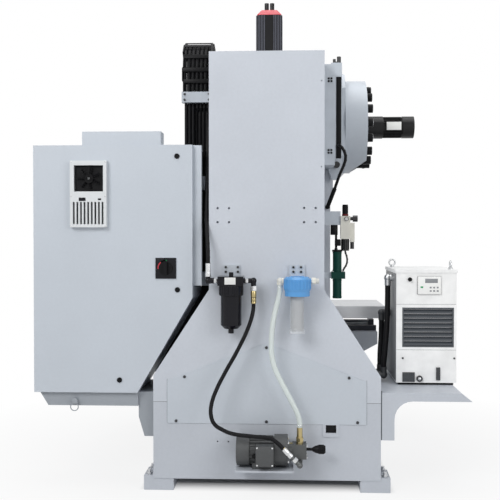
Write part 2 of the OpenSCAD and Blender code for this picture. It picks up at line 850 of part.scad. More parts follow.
module x_ways() {
    half = saddle_l / 2;
    color(steel) {
        for (s = [-1, 1]) {
            y = spindle_y + s * x_rail_y;
            block([-half, half], [y - rail_w / 2, y + rail_w / 2], [saddle_top, saddle_top + rail_h]);
        }
        for (x = [[-half, 40 - half], [half - 40, half]]) difference() {
            block(x, [spindle_y - 55, spindle_y + 55], [saddle_top, saddle_top + support_h]);
            rod_x(x + [-1, 1], spindle_y, x_screw_z, journal_r + run_clear);
        }
    }
}

module x_motor() {
    plate = 25;
    x = saddle_l / 2;
    color(dark) {
        block([x, x + plate], [spindle_y - 60, spindle_y + 60], [saddle_top - 80, saddle_top + support_h]);
        translate([x + plate, spindle_y, x_screw_z - 4]) rotate([0, 90, 0]) servo(motor_side, 240);
    }
}

module table() {
    x = [table_x - table_l / 2, table_x + table_l / 2];
    y = [spindle_y - table_w / 2, spindle_y + table_w / 2];
    nut_x = [table_x - nut_l / 2, table_x + nut_l / 2];
    first = -(slot_count - 1) / 2;
    color(steel) {
        difference() {
            block(x, y, [table_z, table_top]);
            for (i = [0 : slot_count - 1]) {
                mid = spindle_y + (first + i) * slot_pitch;
                neck_z = table_top - slot_neck;
                block(x + [-1, 1], [mid - slot_w / 2, mid + slot_w / 2], [neck_z - 1, table_top + 1]);
                block(x + [-1, 1], span(mid, slot_head_w / 2), [neck_z - slot_head_h, neck_z]);
            }
        }
        for (sx = [-1, 1], sy = [-1, 1]) x_block(table_x + sx * 230, spindle_y + sy * x_rail_y);
        difference() {
            block(nut_x, [spindle_y - 48, spindle_y + 48], [saddle_top + 4, table_z]);
            rod_x(nut_x + [-1, 1], spindle_y, x_screw_z, screw_r + run_clear);
        }
    }
}

module head() {
    back = col_front - 90;
    plate = 70;
    half = head_w / 2;
    base = nose_z + 140;
    front = spindle_y - 180;
    nut_z = [nose_z + 360, nose_z + 480];
    carrier = [carrier_top - 70, carrier_top];
    chain_front = chain_y - 2 * chain_bend;
    arm_x0 = flange_w / 2 + 20;
    arm_x1 = chain_x0 + chain_w;
    color(cast_grey) difference() {
        union() {
            block([-310, 310], [back - plate, back], [nose_z, head_top]);
            slab_x([
                [back, nose_z + 50], [spindle_y + 200, base], [front, base], [front, head_top - 60],
                [front + 80, head_top], [back, head_top]
            ], [-half, half]);
            both_sides() for (z = [nose_z + 110, head_top - 110]) z_block(z_rail_x, z);
            block([-65, 65], [back, z_screw_y + 48], nut_z);
            block([310, arm_x1], [back - plate, back - 30], carrier);
            block([arm_x0, arm_x1], [back - 30, chain_front + chain_t / 2], carrier);
        }
        rod_z(0, spindle_y, [base - 1, head_top + 1], cartridge_r);
        rod_z(0, z_screw_y, nut_z + [-1, 1], screw_r + run_clear);
    }
}

module spindle_housing() {
    base = nose_z + 140;
    barrel = cartridge_r - 0.2;
    bore = nose_r + run_clear;
    color(steel) translate([0, spindle_y, 0]) rotate_extrude() polygon([
        [bore, nose_z + 10], [nose_r + 26, nose_z + 10], [nose_r + 36, nose_z + 60],
        [barrel - 5, nose_z + 70], [barrel - 5, base - 26], [barrel + 28, base - 26],
        [barrel + 28, base], [barrel, base], [barrel, base + 380], [bore + 10, base + 380],
        [bore + 10, nose_z + 100], [bore, nose_z + 100]
    ]);
}

module spindle() {
    drawbar_r = 12.8;
    shaft = nose_r - 6;
    color(steel) translate([0, spindle_y, 0]) rotate_extrude() polygon([
        [taper_r, nose_z], [nose_r, nose_z], [nose_r, nose_z + 99], [shaft, nose_z + 99],
        [shaft, head_top - 20], [0, head_top - 20], [0, nose_z + taper_depth + 50],
        [drawbar_r, nose_z + taper_depth + 50], [drawbar_r, nose_z + taper_depth]
    ]);
}

module spindle_motor() {
    side = 108;
    chamfer = 30;
    bracket = 130;
    length = 300;
    y = spindle_y;
    color(dark) {
        difference() {
            block([-side, side], [y - side, y + side], [head_top, head_top + bracket]);
            block(span(0, side + 1), span(y, side - 25), [head_top + 20, head_top + bracket - 20]);
        }
        translate([0, y, head_top + bracket]) linear_extrude(length) polygon([
            [-side, chamfer - side], [chamfer - side, -side], [side - chamfer, -side], [side, chamfer - side],
            [side, side - chamfer], [side - chamfer, side], [chamfer - side, side], [-side, side - chamfer]
        ]);
        rod_z(0, y, [head_top + bracket + length, head_top + bracket + length + 45], side - 8);
    }
}

module x_screw() {
    half = saddle_l / 2;
    color(steel) {
        rod_x([-half, half], spindle_y, x_screw_z, journal_r);
        rod_x([40.3 - half, half - 40.3], spindle_y, x_screw_z, screw_r);
    }
}

module y_screw() {
    color(steel) {
        rod_y(0, [0.3 - bed_front, col_front - 30], y_screw_z, journal_r);
        rod_y(0, [45.3 - bed_front, col_front - 70.3], y_screw_z, screw_r);
    }
}

module z_screw() {
    color(steel) {
        rod_z(0, z_screw_y, [channel_z - 59.7, col_top + seat_h - 0.3], journal_r);
        rod_z(0, z_screw_y, [channel_z + 0.3, col_top - 0.3], screw_r);
    }
}

// Electrical cabinet

// One hinge barrel on the door's outer edge
module knuckle(z, r, h = hinge_l) {
    translate([cab_x1, cab_y1 + door_gap, z]) cylinder(h = h, r = r, $fn = 24);
}

module cabinet_shell() {
    color(sheet_grey) difference() {
        union() {
            difference() {
                slab_y(cab_outline(0), [cab_y0, cab_y1]);
                slab_y(cab_outline(wall), [cab_y0 + wall, cab_y1 + 1]);
            }
            for (z = hinge_zs) knuckle(z, hinge_r);
            block([cab_x0 + 196, cab_x0 + 684], [cab_y1 - 125, cab_y1], [cab_top, cab_top + 85]);
        }
        for (z = hinge_zs) knuckle(z + hinge_l, hinge_r + 0.5);
    }
}

module door() {
    color(sheet_grey) difference() {
        union() {
            difference() {
                slab_y(cab_outline(0), [cab_y1 + door_gap, door_y]);
                for (z = hinge_zs) knuckle(z, hinge_r + 0.5);
            }
            for (z = hinge_zs) knuckle(z + hinge_l + hinge_gap, hinge_r, hinge_l - 2 * hinge_gap);
            block(span(switch_at[0], switch_side / 2), [door_y, door_y + 6],
                span(switch_at[1], switch_side / 2));
        }
        for (p = lock_at) rod_y(p[0], [cab_y1, door_y + 1], p[1], lock_r + run_clear);
        rod_y(switch_at[0], [cab_y1, door_y + 7], switch_at[1], switch_shaft_r + run_clear);
    }
}

module door_lock(p) {
    inside = cab_y1 + door_gap - 12;
    color(dark) difference() {
        union() {
            rod_y(p[0], [inside, door_y + 1], p[1], lock_r);
            rod_y(p[0], [door_y + 0.3, door_y + 5], p[1], lock_r + 5);
            block(span(p[0], 10), [inside - 4, inside], [p[1] - 10, p[1] + 34]);
        }
        block(span(p[0], 7), [door_y + 3, door_y + 6], span(p[1], 1.5));
    }
}

module lock_top() {
    door_lock(lock_at[0]);
}

module lock_middle() {
    door_lock(lock_at[1]);
}

module lock_bottom() {
    door_lock(lock_at[2]);
}

module switch_handle() {
    face = door_y + 6.3;
    color(dark) {
        rod_y(switch_at[0], [cab_y1 - 20, face], switch_at[1], switch_shaft_r);
        rod_y(switch_at[0], [face, face + 14], switch_at[1], 42);
        block(span(switch_at[0], 11), [face, face + 34], span(switch_at[1], 40));
    }
}

module heat_exchanger() {
    slot = 12;
    slots = 9;
    pitch = (unit_x[1] - unit_x[0] - 25) / slots;
    color(sheet_grey) {
        difference() {
            block(unit_x, [door_y, door_y + unit_t], unit_z);
            block(span(fan_at[0], fan_r + 18), [door_y + 8, door_y + unit_t + 1], span(fan_at[1], fan_r + 8));
            for (i = [0 : slots - 1]) {
                x = unit_x[0] + 18 + i * pitch;
                block([x, x + slot], [door_y + 10, door_y + unit_t + 1], [unit_z[0] + 19, unit_z[0] + 155]);
            }
        }
        rod_y(fan_at[0], [door_y + 8, door_y + 27], fan_at[1], fan_pin_r);
    }
}

module door_fan() {
    color(dark) translate([fan_at[0], door_y + 10, fan_at[1]]) rotate([-90, 0, 0]) difference() {
        union() {
            cylinder(h = 16, r = 27);
            for (i = [0 : 6]) rotate([0, 0, i * 360 / 7]) translate([20, 0, 8])
                rotate([35, 0, 0]) translate([0, -2, -9]) cube([fan_r - 22, 4, 18]);
        }
        translate([0, 0, -20]) cylinder(h = 60, r = fan_pin_r + run_clear);
    }
}

module cabinet_tray() {
    side = bed_w / 2;
    x = cut_x;
    face = cab_y1 - 12;
    low = cab_bottom - 86;
    arm_low = cab_bottom - 278;
    plug = [cab_x1 - 254, cab_bottom - 53];
    color(sheet_grey) {
        slab_y([
            [x, cab_bottom], [cab_x1 - 28, cab_bottom], [cab_x1 - 81, low], [x, low]
        ], [cab_y0 + 30, face]);
        slab_y([
            [side, cab_bottom - 1], [x, cab_bottom - 1], [x, arm_low + 122], [x - 36, arm_low],
            [side, arm_low]
        ], [cab_y0 + 30, face - 20]);
    }
    color(dark) {
        rod_y(plug[0], [face, face + 26], plug[1], 17);
        translate([plug[0] + 4, face + 20, plug[1] - 38]) rotate([90, 0, 0])
            rotate_extrude() translate([24, 0]) circle(r = 3);
    }
}

module mounting_panel() {
    back = cab_y0 + wall;
    panel = 6;
    face = back + panel;
    right = cab_x1 - wall - 20;
    split_z = cab_bottom + cut_h + 70;
    color(steel) {
        block([cab_x0 + wall + 20, right], [back, face], [split_z, cab_top - 40]);
        block([cut_x + 40, right], [back, face], [cab_bottom + 40, split_z]);
    }
    color(cream) for (i = [0 : 3]) {
        block([right - 120 - i * 112, right - 20 - i * 112], [face, face + 210],
            [cab_top - 486, cab_top - 96]);
    }
    color(dark) {
        for (i = [0 : 8]) block([right - 70 - i * 52, right - 24 - i * 52], [face, face + 90],
            [cab_top - 686, cab_top - 596]);
        block(span(switch_at[0], 60), [face, face + 110], span(switch_at[1], 75));
        block([right - 300, right - 60], [face, face + 180], [cab_bottom + 89, cab_bottom + 289]);
    }
    color(sheet_grey) {
        for (z = [cab_top - 556, cab_top - 746]) {
            block([cab_x0 + wall + 260, right - 20], [face, face + 70], [z, z + 40]);
        }
        block([right - 420, right - 40], [face, face + 140], [split_z - 250, split_z - 20]);
    }
}

// Air supply

module air_unit() {
    side = 61;
    knob_z = air_z + 134;
    color(cream) {
        block(span(air_x, air_half), span(air_y, 32), [air_z, air_z + 151]);
        block([air_x - side, air_x - air_half], span(air_y, 20), [air_z - 20, air_z + 106]);
    }
    color(dark) {
        rod_z(air_x, air_y, [air_z - 78, air_z], 26);
        rod_z(air_x - 46, air_y, [air_z - 66, air_z - 20], 13);
        rod_x([air_x - 81, air_x - 50], air_y, knob_z, 21);
        rod_x([air_x - 50, air_x - air_half], air_y, knob_z, 12);
        lead([for (p = [
            [0, -78], [-3, -93], [-10, -112], [-14, -134], [-13, -156], [-5, -178], [6, -194], [12, -206],
            [12, -216]
        ]) [air_x + p[0], air_y, air_z + p[1]]], 6);
    }
}

module regulator_knob() {
    base = air_z + 151.3;
    color(dark) {
        rod_z(air_x, air_y, [base, base + 13], 20);
        rod_z(air_x, air_y, [base + 13, base + 75], 18);
    }
}

module air_dryer() {
    r = 29;
    color("#2f6b45") {
        rod_z(dryer_x, air_y, [air_z - 216, air_z - 84], r);
        block([dryer_x - 51, dryer_x + 40], span(air_y, 35), [air_z - 262, air_z - 216]);
        rod_z(dryer_x, air_y, [air_z - 392, air_z - 262], r);
    }
}

// Filters

module black_filter_head() {
    y = bed_rear + 12;
    elbow = black_route[0];
    inlet = inlet_route[0];
    color(dark) {
        block([black_x - 77, black_x + 77], [y, filter_y + 66], [filter_z - 54, filter_z]);
        rod_z(black_x, filter_y, [filter_z - 116, filter_z - 54], 71);
        rod_x([black_x + 77, inlet[0]], filter_y, port_z, 18);
        translate([inlet[0], filter_y, port_z]) sphere(r = 20);
        rod_z(inlet[0], filter_y, [port_z, inlet[2]], 15);
        rod_x([elbow[0], black_x - 77], filter_y, port_z, 15);
        translate([elbow[0], filter_y, port_z]) sphere(r = 19);
        rod_z(elbow[0], filter_y, [elbow[2], port_z], 16);
        rod_z(black_x, filter_y, [filter_z, filter_z + 24], 14);
    }
}

module black_filter_bowl() {
    top = filter_z - 116;
    r = 62.5;
    color(dark) translate([black_x, filter_y, 0]) rotate_extrude() polygon([
        [0, top], [r, top], [r, top - 178], [r - 20, top - 199], [17, top - 199], [17, top - 228],
        [0, top - 228]
    ]);
}

module blue_filter_head() {
    elbow = clear_route[0];
    low = filter_z - 117;
    color("#1f55a5") {
        block([blue_x - 40, blue_x + 40], [bed_rear + 12, blue_y], [filter_z - 40, filter_z]);
        translate([blue_x, blue_y, 0]) rotate_extrude() polygon([
            [0, filter_z - 2], [66, filter_z - 2], [80, filter_z - 16], [80, low + 40], [75, low + 28],
            [75, low], [46, low], [46, low + 20], [0, low + 20]
        ]);
    }
    color(cream) {
        rod_x([blue_x - 129, blue_x - 70], blue_y, port_z, 16);
        rod_x([blue_x + 70, elbow[0]], blue_y, port_z, 14);
        translate([elbow[0], blue_y, port_z]) sphere(r = 20);
        rod_z(elbow[0], blue_y, [elbow[2], port_z], 18);
    }
}

module blue_filter_bowl() {
    top = filter_z - 97;
    low = filter_z - 340;
    r = 42;
    skin = 4;
    color([0.85, 0.9, 0.92, 0.5]) translate([blue_x, blue_y, 0]) rotate_extrude() polygon([
        [0, low], [r + 4, low], [r + 4, low + 26], [r, low + 30], [r, top], [r - skin, top],
        [r - skin, low + 12], [0, low + 12]
    ]);
}

module blue_filter_element() {
    low = filter_z - 328;
    top = filter_z - 97;
    color("#f1efe8") difference() {
        rod_z(blue_x, blue_y, [low, top], 35);
        rod_z(blue_x, blue_y, [low + 20, top + 1], 13);
    }
}

// Pump

module pump_shelf() {
    x = [-164, 180];
    sag = 36;
    mid = (x[0] + x[1]) / 2;
    half = (x[1] - x[0]) / 2 - 6;
    bow_r = (half * half + sag * sag) / (2 * sag);
    low = pump_shelf_z - 12;
    color(cast_grey) {
        block(x, [bed_rear, bed_rear + 200], [low, pump_shelf_z]);
        intersection() {
            rod_y(mid, [bed_rear, bed_rear + 60], low - sag + bow_r, bow_r);
            block(x, [bed_rear - 1, bed_rear + 61], [low - sag - 1, low + 6]);
        }
    }
}

module pump_motor() {
    color("#8d9194") {
        rod_x([99, 174], pump_y, pump_z, motor_r + 6);
        rod_x([-50, 99], pump_y, pump_z, motor_r - 8);
        for (i = [0 : 23]) rotate_about_x(i * 15) block([-45, 95], [motor_r - 12, motor_r], [-2.5, 2.5]);
        rod_x([-131, -50], pump_y, pump_z, motor_r + 9);
        block([-47, 56], [pump_y + motor_r - 20, pump_y + motor_r + 46], [pump_z - 66, pump_z + 52]);
        block([-30, 80], [pump_y - 65, pump_y + 65], [pump_shelf_z, pump_z - motor_r + 20]);
    }
}

// Turn a piece about the pump's axis
module rotate_about_x(a) {
    translate([0, pump_y, pump_z]) rotate([a, 0, 0]) children();
}

module pump_body() {
    x = [-242, -159];
    hose_end = black_route[len(black_route) - 1];
    drain_end = clear_route[len(clear_route) - 1];
    port_x = drain_end[0];
    elbow = hose_end - [99, 0, 99];
    color("#9b9fa2") {
        rod_x([x[1], -131], pump_y, pump_z, 46);
        difference() {
            block(x, [pump_y - 48, pump_y + 48], [pump_z - 44, pump_z + 42]);
            rod_x([x[0] - 1, x[0] + 40], pump_y, pump_z + 6, handle_shaft_r + run_clear);
        }
        rod_z(port_x, pump_y + 5, [pump_z - 92, pump_z - 44], 17);
        rod_y(elbow[0], [pump_y, elbow[1]], elbow[2], 13);
        translate(elbow) sphere(r = 17);
        bar(elbow, hose_end, 14);
    }
    color("#c0a04e") {
        rod_z(port_x, pump_y + 5, [pump_z + 42, pump_z + 80], 21);
        rod_z(port_x, pump_y + 5, [pump_z + 80, drain_end[2]], 17);
    }
}

module pump_handle() {
    color(dark) {
        rod_x([-280, -205], pump_y, pump_z + 6, handle_shaft_r);
        translate([-278, pump_y, pump_z + 6]) rotate([0, -90, 0]) rotate_extrude() polygon([
            [0, 0], [12, 0], [handle_r - 5, 18], [handle_r, 36], [handle_r, 70], [handle_r - 6, 78], [0, 78]
        ]);
    }
}

module black_hose() {
    color(dark) tube(black_route, black_r, [0, 1, 0]);
}

module clear_hose() {
    color([0.85, 0.88, 0.86, 0.7]) tube(clear_route, clear_r, [0, 1, 0]);
}

// Chiller

module chiller_shelf() {
    side = -bed_w / 2;
    plate = 15;
    low = shelf_z - plate;
    tip = chill_x0 - 42;
    leg = side - 82;
    fillet = 110;
    edge = shelf_z - 50;
    y0 = chill_y0 - 5;
    color(cast_grey) {
        block([tip + 62, side], [y0, bed_rear - plate], [low, shelf_z]);
        block([side - plate, side], [y0 + 80, bed_rear - plate], [324, low]);
        slab_y(concat(
            [[side, 324], [side, shelf_z], [tip + 62, shelf_z], [tip, edge]],
            [for (a = [90 : -15 : 0]) [leg - fillet + fillet * cos(a), edge - fillet + fillet * sin(a)]],
            [[leg, 324]]
        ), [bed_rear - plate, bed_rear]);
    }
}

module chiller_case() {
    lid = 20;
    over = 6;
    color(sheet_grey) {
        difference() {
            block([chill_x0, chill_x1], [chill_y0, chill_y1], [chill_z, chill_top]);
            block(louvre_x, [chill_y1 - louvre_d, chill_y1 + 1], louvre_z);
            rod_y(knob_at[0], [chill_y1 - 20, chill_y1 + 1], knob_at[1], knob_shaft_r + run_clear);
        }
        block(
            [chill_x0 - over, chill_x1 + over], [chill_y0 - over, chill_y1 + over],
            [chill_top, chill_top + lid]
        );
    }
    color(dark) for (x = [chill_x0 + 40, chill_x1 - 40], y = [chill_y0 + 40, chill_y1 - 40]) {
        rod_z(x, y, [shelf_z, chill_z], 20);
    }
}

module chiller_louvre() {
    frame = 10;
    y = [chill_y1 - louvre_d, chill_y1];
    pitch = (louvre_z[1] - louvre_z[0] - 2 * frame) / slat_count;
    color(sheet_grey) {
        difference() {
            block(louvre_x, y, louvre_z);
            block(louvre_x + [frame, -frame], [y[0] + 2, y[1] + 1], louvre_z + [frame, -frame]);
        }
        for (i = [0 : slat_count - 1]) {
            z = louvre_z[0] + frame + i * pitch;
            slab_x([
                [y[0] + 2, z + pitch * 0.9], [y[0] + 2, z + pitch * 0.75], [y[1], z + pitch * 0.1],
                [y[1], z + pitch * 0.3]
            ], louvre_x + [frame, -frame]);
        }
    }
}

// A lifting eye on a short shank
module eyebolt(x, y, z, turn) {
    rod_z(x, y, [z, z + 14], 14);
    translate([x, y, z + 32]) rotate([90, 0, turn]) rotate_extrude()
        translate([20, 0]) circle(r = 6, $fn = 24);
}

// A hose elbow: a stub out of a wall at wall_x, turned toward the hose's end at p
module hose_elbow(p, wall_x, rise) {
    z = p[2] + rise;
    rod_x([min(wall_x, p[0]), max(wall_x, p[0])], p[1], z, hose_r + 4);
    rod_z(p[0], p[1], [min(z, p[2]), max(z, p[2])], hose_r + 3);
    translate([p[0], p[1], z]) sphere(r = hose_r + 7);
}

module chiller_fittings() {
    x = chill_x1;
    y = chill_y1;
    z = chill_z;
    lid_top = chill_top + 20;
    color(dark) {
        block([x - 283, x - 134], [y, y + 8], [z + 566, z + 682]);
        block([x - 118, x - 40], [y, y + 6], [z + 6, z + 67]);
        rod_y(x - 148, [y, y + 14], z + 27, 19);
        block([x - 279, x - 254], [y, y + 8], [z + 18, z + 99]);
    }
    color(steel) {
        eyebolt(chill_x1 - 32, chill_y0 + 80, lid_top, 0);
        eyebolt(chill_x0 + 26, chill_y1 - 70, lid_top, 90);
        for (screw_x = [chill_x1 - 42, chill_x0 + 14]) rod_y(screw_x, [y, y + 5], z + 158, 6);
    }
    color(dark) {
        hose_elbow(supply_route[0], chill_x1, 50);
        hose_elbow(return_route[0], chill_x1, 50);
        hose_elbow(supply_route[len(supply_route) - 1], -bed_w / 2, -52);
        hose_elbow(return_route[len(return_route) - 1], -bed_w / 2, -52);
    }
}

module chiller_knob() {
    face = chill_y1 + 0.3;
    color(dark) {
        rod_y(knob_at[0], [chill_y1 - 19, face], knob_at[1], knob_shaft_r);
        rod_y(knob_at[0], [face, face + 9], knob_at[1], 13);
        block(span(knob_at[0], 4), [face, face + 22], span(knob_at[1], 11));
    }
}

module supply_hose() {
    color(dark) tube(supply_route, hose_r, [1, 0, 0]);
}

module return_hose() {
    color(dark) tube(return_route, hose_r, [1, 0, 0]);
}

bed();
fasteners();
column();
rear_cover();
guide_rails();
y_motor();
z_motor();
energy_chain();
brackets();
cable_bundle();
magazine_bracket();
magazine_cover();
magazine_gearmotor();
arm_gearbox();
cabinet_shell();
cabinet_tray();
mounting_panel();
air_unit();
air_dryer();
black_filter_head();
black_filter_bowl();
blue_filter_head();
blue_filter_bowl();
blue_filter_element();
pump_shelf();
pump_motor();
pump_body();
black_hose();
clear_hose();
chiller_shelf();
chiller_case();
chiller_louvre();
chiller_fittings();
supply_hose();
return_hose();
saddle();
x_ways();
x_motor();
table();
head();
spindle_housing();
spindle_motor();
spindle();
x_screw();
y_screw();
z_screw();
magazine_disc();
tool_pots();
arm_sleeve();
change_arm();
door();
heat_exchanger();
door_fan();
switch_handle();
lock_top();
lock_middle();
lock_bottom();
regulator_knob();
pump_handle();
chiller_knob();
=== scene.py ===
"""Dresses the vertical machining center with its finishes, trim, hoses and studio."""

import itertools
import math

import bpy
from mathutils import Matrix, Vector


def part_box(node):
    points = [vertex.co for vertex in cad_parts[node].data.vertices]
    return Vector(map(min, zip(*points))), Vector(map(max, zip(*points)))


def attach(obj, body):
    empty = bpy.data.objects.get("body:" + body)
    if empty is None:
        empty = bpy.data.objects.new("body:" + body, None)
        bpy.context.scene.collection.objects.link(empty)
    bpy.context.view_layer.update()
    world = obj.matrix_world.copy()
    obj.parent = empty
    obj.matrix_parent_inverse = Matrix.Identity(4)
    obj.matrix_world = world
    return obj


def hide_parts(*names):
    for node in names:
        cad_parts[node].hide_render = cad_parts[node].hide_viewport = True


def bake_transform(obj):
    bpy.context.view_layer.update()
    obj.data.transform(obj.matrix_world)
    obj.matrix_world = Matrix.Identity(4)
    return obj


bl_info = {
    "name": "Machining Center Dressing",
    "version": (1, 0, 0),
    "blender": (4, 5, 0),
    "location": "3D View > Sidebar > Machine",
    "description": "Finishes, trim, hoses and studio for a vertical machining center",
    "category": "Object",
}

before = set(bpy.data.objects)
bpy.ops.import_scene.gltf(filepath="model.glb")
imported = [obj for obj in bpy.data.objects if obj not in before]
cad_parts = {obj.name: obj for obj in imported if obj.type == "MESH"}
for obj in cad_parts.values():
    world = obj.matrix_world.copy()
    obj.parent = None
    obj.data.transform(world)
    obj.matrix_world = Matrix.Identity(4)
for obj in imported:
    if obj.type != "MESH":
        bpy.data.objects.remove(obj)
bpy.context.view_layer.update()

RIGHT, LEFT = Vector((1, 0, 0)), Vector((-1, 0, 0))
REAR, FRONT = Vector((0, 1, 0)), Vector((0, -1, 0))
UP, DOWN = Vector((0, 0, 1)), Vector((0, 0, -1))

# Places in metres, as in the part's source
MAGAZINE_Y, MAGAZINE_Z = -0.48, 2.415
POTS, POT_CIRCLE = 16, 0.285
AIR_X, DRYER_X, AIR_Y = -0.508, -0.456, 0.56
BLACK_FILTER_X, BLACK_FILTER_Y = 0.211, 1.076
BLUE_FILTER_X, BLUE_FILTER_Y = -0.187, 1.093
PORT_Z = 1.299
DRAIN_X, DRAIN_Y = -0.202, 1.105
PUMP_Y, PUMP_Z = 1.100, 0.285
CHILLER_FACE = 0.720
RAIL_PITCH = 0.105

# Hose routes in millimetres, as in the part's source
BLACK_ROUTE = [
    (76, 1076, 1170), (76, 1076, 1140), (84, 1088, 1090), (110, 1100, 1010), (172, 1110, 880),
    (248, 1120, 744), (300, 1140, 638), (324, 1160, 560), (324, 1176, 506), (304, 1188, 458),
    (250, 1200, 424), (206, 1208, 408), (160, 1213, 400), (110, 1217, 396), (60, 1220, 392),
    (8, 1220, 389), (-34, 1220, 381), (-70, 1220, 357), (-103, 1220, 324),
]
CLEAR_ROUTE = [
    (-83, 1093, 1275), (-83, 1093, 1250), (-77, 1094, 1205), (-63, 1095, 1150), (-48, 1096, 1085),
    (-37, 1097, 1010), (-32, 1098, 935), (-33, 1099, 870), (-43, 1100, 812), (-63, 1101, 752),
    (-94, 1102, 690), (-130, 1104, 622), (-165, 1105, 555), (-191, 1105, 498), (-202, 1105, 450),
    (-202, 1105, 422),
]
SUPPLY_ROUTE = [
    (-793, 520, 1240), (-793, 520, 1215), (-793, 522, 1180), (-792, 525, 1140), (-791, 530, 1100),
    (-789, 536, 1060), (-787, 543, 1020), (-784, 550, 980), (-781, 557, 940), (-778, 564, 900),
    (-774, 570, 860), (-771, 575, 825), (-767, 580, 790), (-763, 584, 758), (-760, 586, 732),
    (-760, 586, 707),
]
RETURN_ROUTE = [
    (-764, 420, 1000), (-764, 420, 980), (-764, 421, 955), (-763, 423, 930), (-762, 426, 905),
    (-761, 430, 885), (-759, 435, 865), (-757, 441, 845), (-755, 447, 825), (-753, 454, 805),
    (-751, 461, 785), (-750, 467, 767), (-749, 473, 752), (-748, 479, 738), (-748, 482, 724),
    (-748, 482, 707),
]


# Settings


def colour(label, rgb, about):
    """A colour setting with its default"""
    return bpy.props.FloatVectorProperty(
        name=label, description=about, default=rgb, subtype="COLOR", size=3, min=0, max=1
    )


def length(label, metres, about):
    """A length setting with its default"""
    return bpy.props.FloatProperty(
        name=label, description=about, default=metres, subtype="DISTANCE", unit="LENGTH", min=0
    )


class MachineColours(bpy.types.PropertyGroup):
    """Colours of the machine's paints and plastics"""

    casting: colour("Casting", (0.53, 0.56, 0.61), "Paint of the castings")
    sheet: colour("Sheet metal", (0.52, 0.56, 0.61), "Paint of the cabinet and covers")
    chiller: colour("Chiller", (0.93, 0.93, 0.92), "Paint of the chiller's case")
    motor: colour("Motor", (0.009, 0.009, 0.010), "Enamel of the motors")
    plastic: colour("Black plastic", (0.006, 0.006, 0.007), "Plastic of the chain, pots and knobs")
    filter_cap: colour("Filter cap", (0.10, 0.34, 0.70), "Plastic of the clear filter's cap")
    dryer: colour("Air dryer", (0.003, 0.046, 0.034), "Paint of the air dryer")
    cap: colour("Motor cap", (0.52, 0.025, 0.045), "Enamel of the axis motors' end caps")


class MachineSizes(bpy.types.PropertyGroup):
    """Sizes of the machine's hoses"""

    black_hose: length("Black hose", 0.024, "Outer diameter of the pressure hose")
    clear_hose: length("Clear hose", 0.032, "Outer diameter of the clear hose")
    chiller_hose: length("Chiller hose", 0.036, "Outer diameter of the chiller's hoses")


# Finishes


class Wire:
    """A socket that takes part in Python arithmetic"""

    def __init__(self, nodes, socket):
        self.nodes = nodes
        self.socket = socket

    def math(self, operation, *values):
        return self.nodes.node("ShaderNodeMath", dict(enumerate(values)), operation=operation)

    def __add__(self, other):
        return self.math("ADD", self, other)

    def __radd__(self, other):
        return self.math("ADD", other, self)

    def __sub__(self, other):
        return self.math("SUBTRACT", self, other)

    def __mul__(self, other):
        return self.math("MULTIPLY", self, other)

    def __rmul__(self, other):
        return self.math("MULTIPLY", other, self)

    def __gt__(self, other):
        return self.math("GREATER_THAN", self, other)

    def __lt__(self, other):
        return self.math("LESS_THAN", self, other)

    def __abs__(self):
        return self.math("ABSOLUTE", self)

    def maximum(self, other):
        return self.math("MAXIMUM", self, other)


class Nodes:
    """One node tree and the methods that add nodes to it"""

    def __init__(self, tree):
        self.tree = tree
        tree.nodes.clear()

    def node(self, kind, inputs=None, out=0, **settings):
        made = self.tree.nodes.new(kind)
        for key, value in settings.items():
            setattr(made, key, value)
        for key, value in (inputs or {}).items():
            if isinstance(value, Wire):
                self.tree.links.new(value.socket, made.inputs[key])
            else:
                made.inputs[key].default_value = value
        return Wire(self, made.outputs[out]) if len(made.outputs) else None

    def mix(self, factor, first, second):
        return self.node(
            "ShaderNodeMix", {0: factor, 6: first, 7: second}, out=2, data_type="RGBA"
        )

    def noise(self, place, scale, detail=3.0):
        return self.node("ShaderNodeTexNoise", {"Vector": place, "Scale": scale, "Detail": detail})

    def ramp(self, value, low, high):
        return self.node("ShaderNodeMapRange", {"Value": value, "From Min": low, "From Max": high})

    def seen(self):
        """Whether a ray is the camera's, mirrored or let through"""
        camera, glossy, through = (self.node("ShaderNodeLightPath", out=n) for n in (0, 3, 6))
        return camera + glossy + through


def opaque(rgb):
    return (*rgb, 1.0)


def shaded(rgb, times):
    return tuple(min(1.0, c * times) for c in rgb)


class Finish(Nodes):
    """A material under construction, read in Object coordinates"""

    def __init__(self, name):
        self.material = bpy.data.materials.new(name)
        self.material.use_nodes = True
        super().__init__(self.material.node_tree)
        self.place = self.node("ShaderNodeTexCoord", out=3)

    def stretched(self, scale):
        return self.node("ShaderNodeMapping", {"Vector": self.place, "Scale": scale})

    def axis(self, number):
        return self.node("ShaderNodeSeparateXYZ", {0: self.place}, out=number)

    def close(self, base, rough, metal, height, depth, strength=0.4, **extra):
        """End the material with bumps of the given height and depth"""
        bump = self.node(
            "ShaderNodeBump", {"Strength": strength, "Distance": depth, "Height": height}
        )
        surface = self.node(
            "ShaderNodeBsdfPrincipled",
            {"Base Color": base, "Roughness": rough, "Metallic": metal, "Normal": bump, **extra},
        )
        self.node("ShaderNodeOutputMaterial", {"Surface": surface})
        return self.material


def painted(name, rgb, rough=0.42, peel=260.0, depth=0.00025, drift=0.06, gloss=0.5):
    """Satin paint with slow drifts of shade, fine orange peel and dull patches"""
    f = Finish(name)
    cloud = f.noise(f.place, 2.2, 4.0)
    speck = f.noise(f.place, 55.0, 2.0)
    shade = f.ramp(cloud * 0.7 + speck * 0.3, 0.32, 0.68)
    base = f.mix(shade, opaque(shaded(rgb, 1 - drift)), opaque(shaded(rgb, 1 + drift * 0.6)))
    return f.close(
        base, rough - 0.06 + 0.12 * f.noise(f.place, 9.0), 0.0, f.noise(f.place, peel), depth,
        **{"Specular IOR Level": gloss},
    )


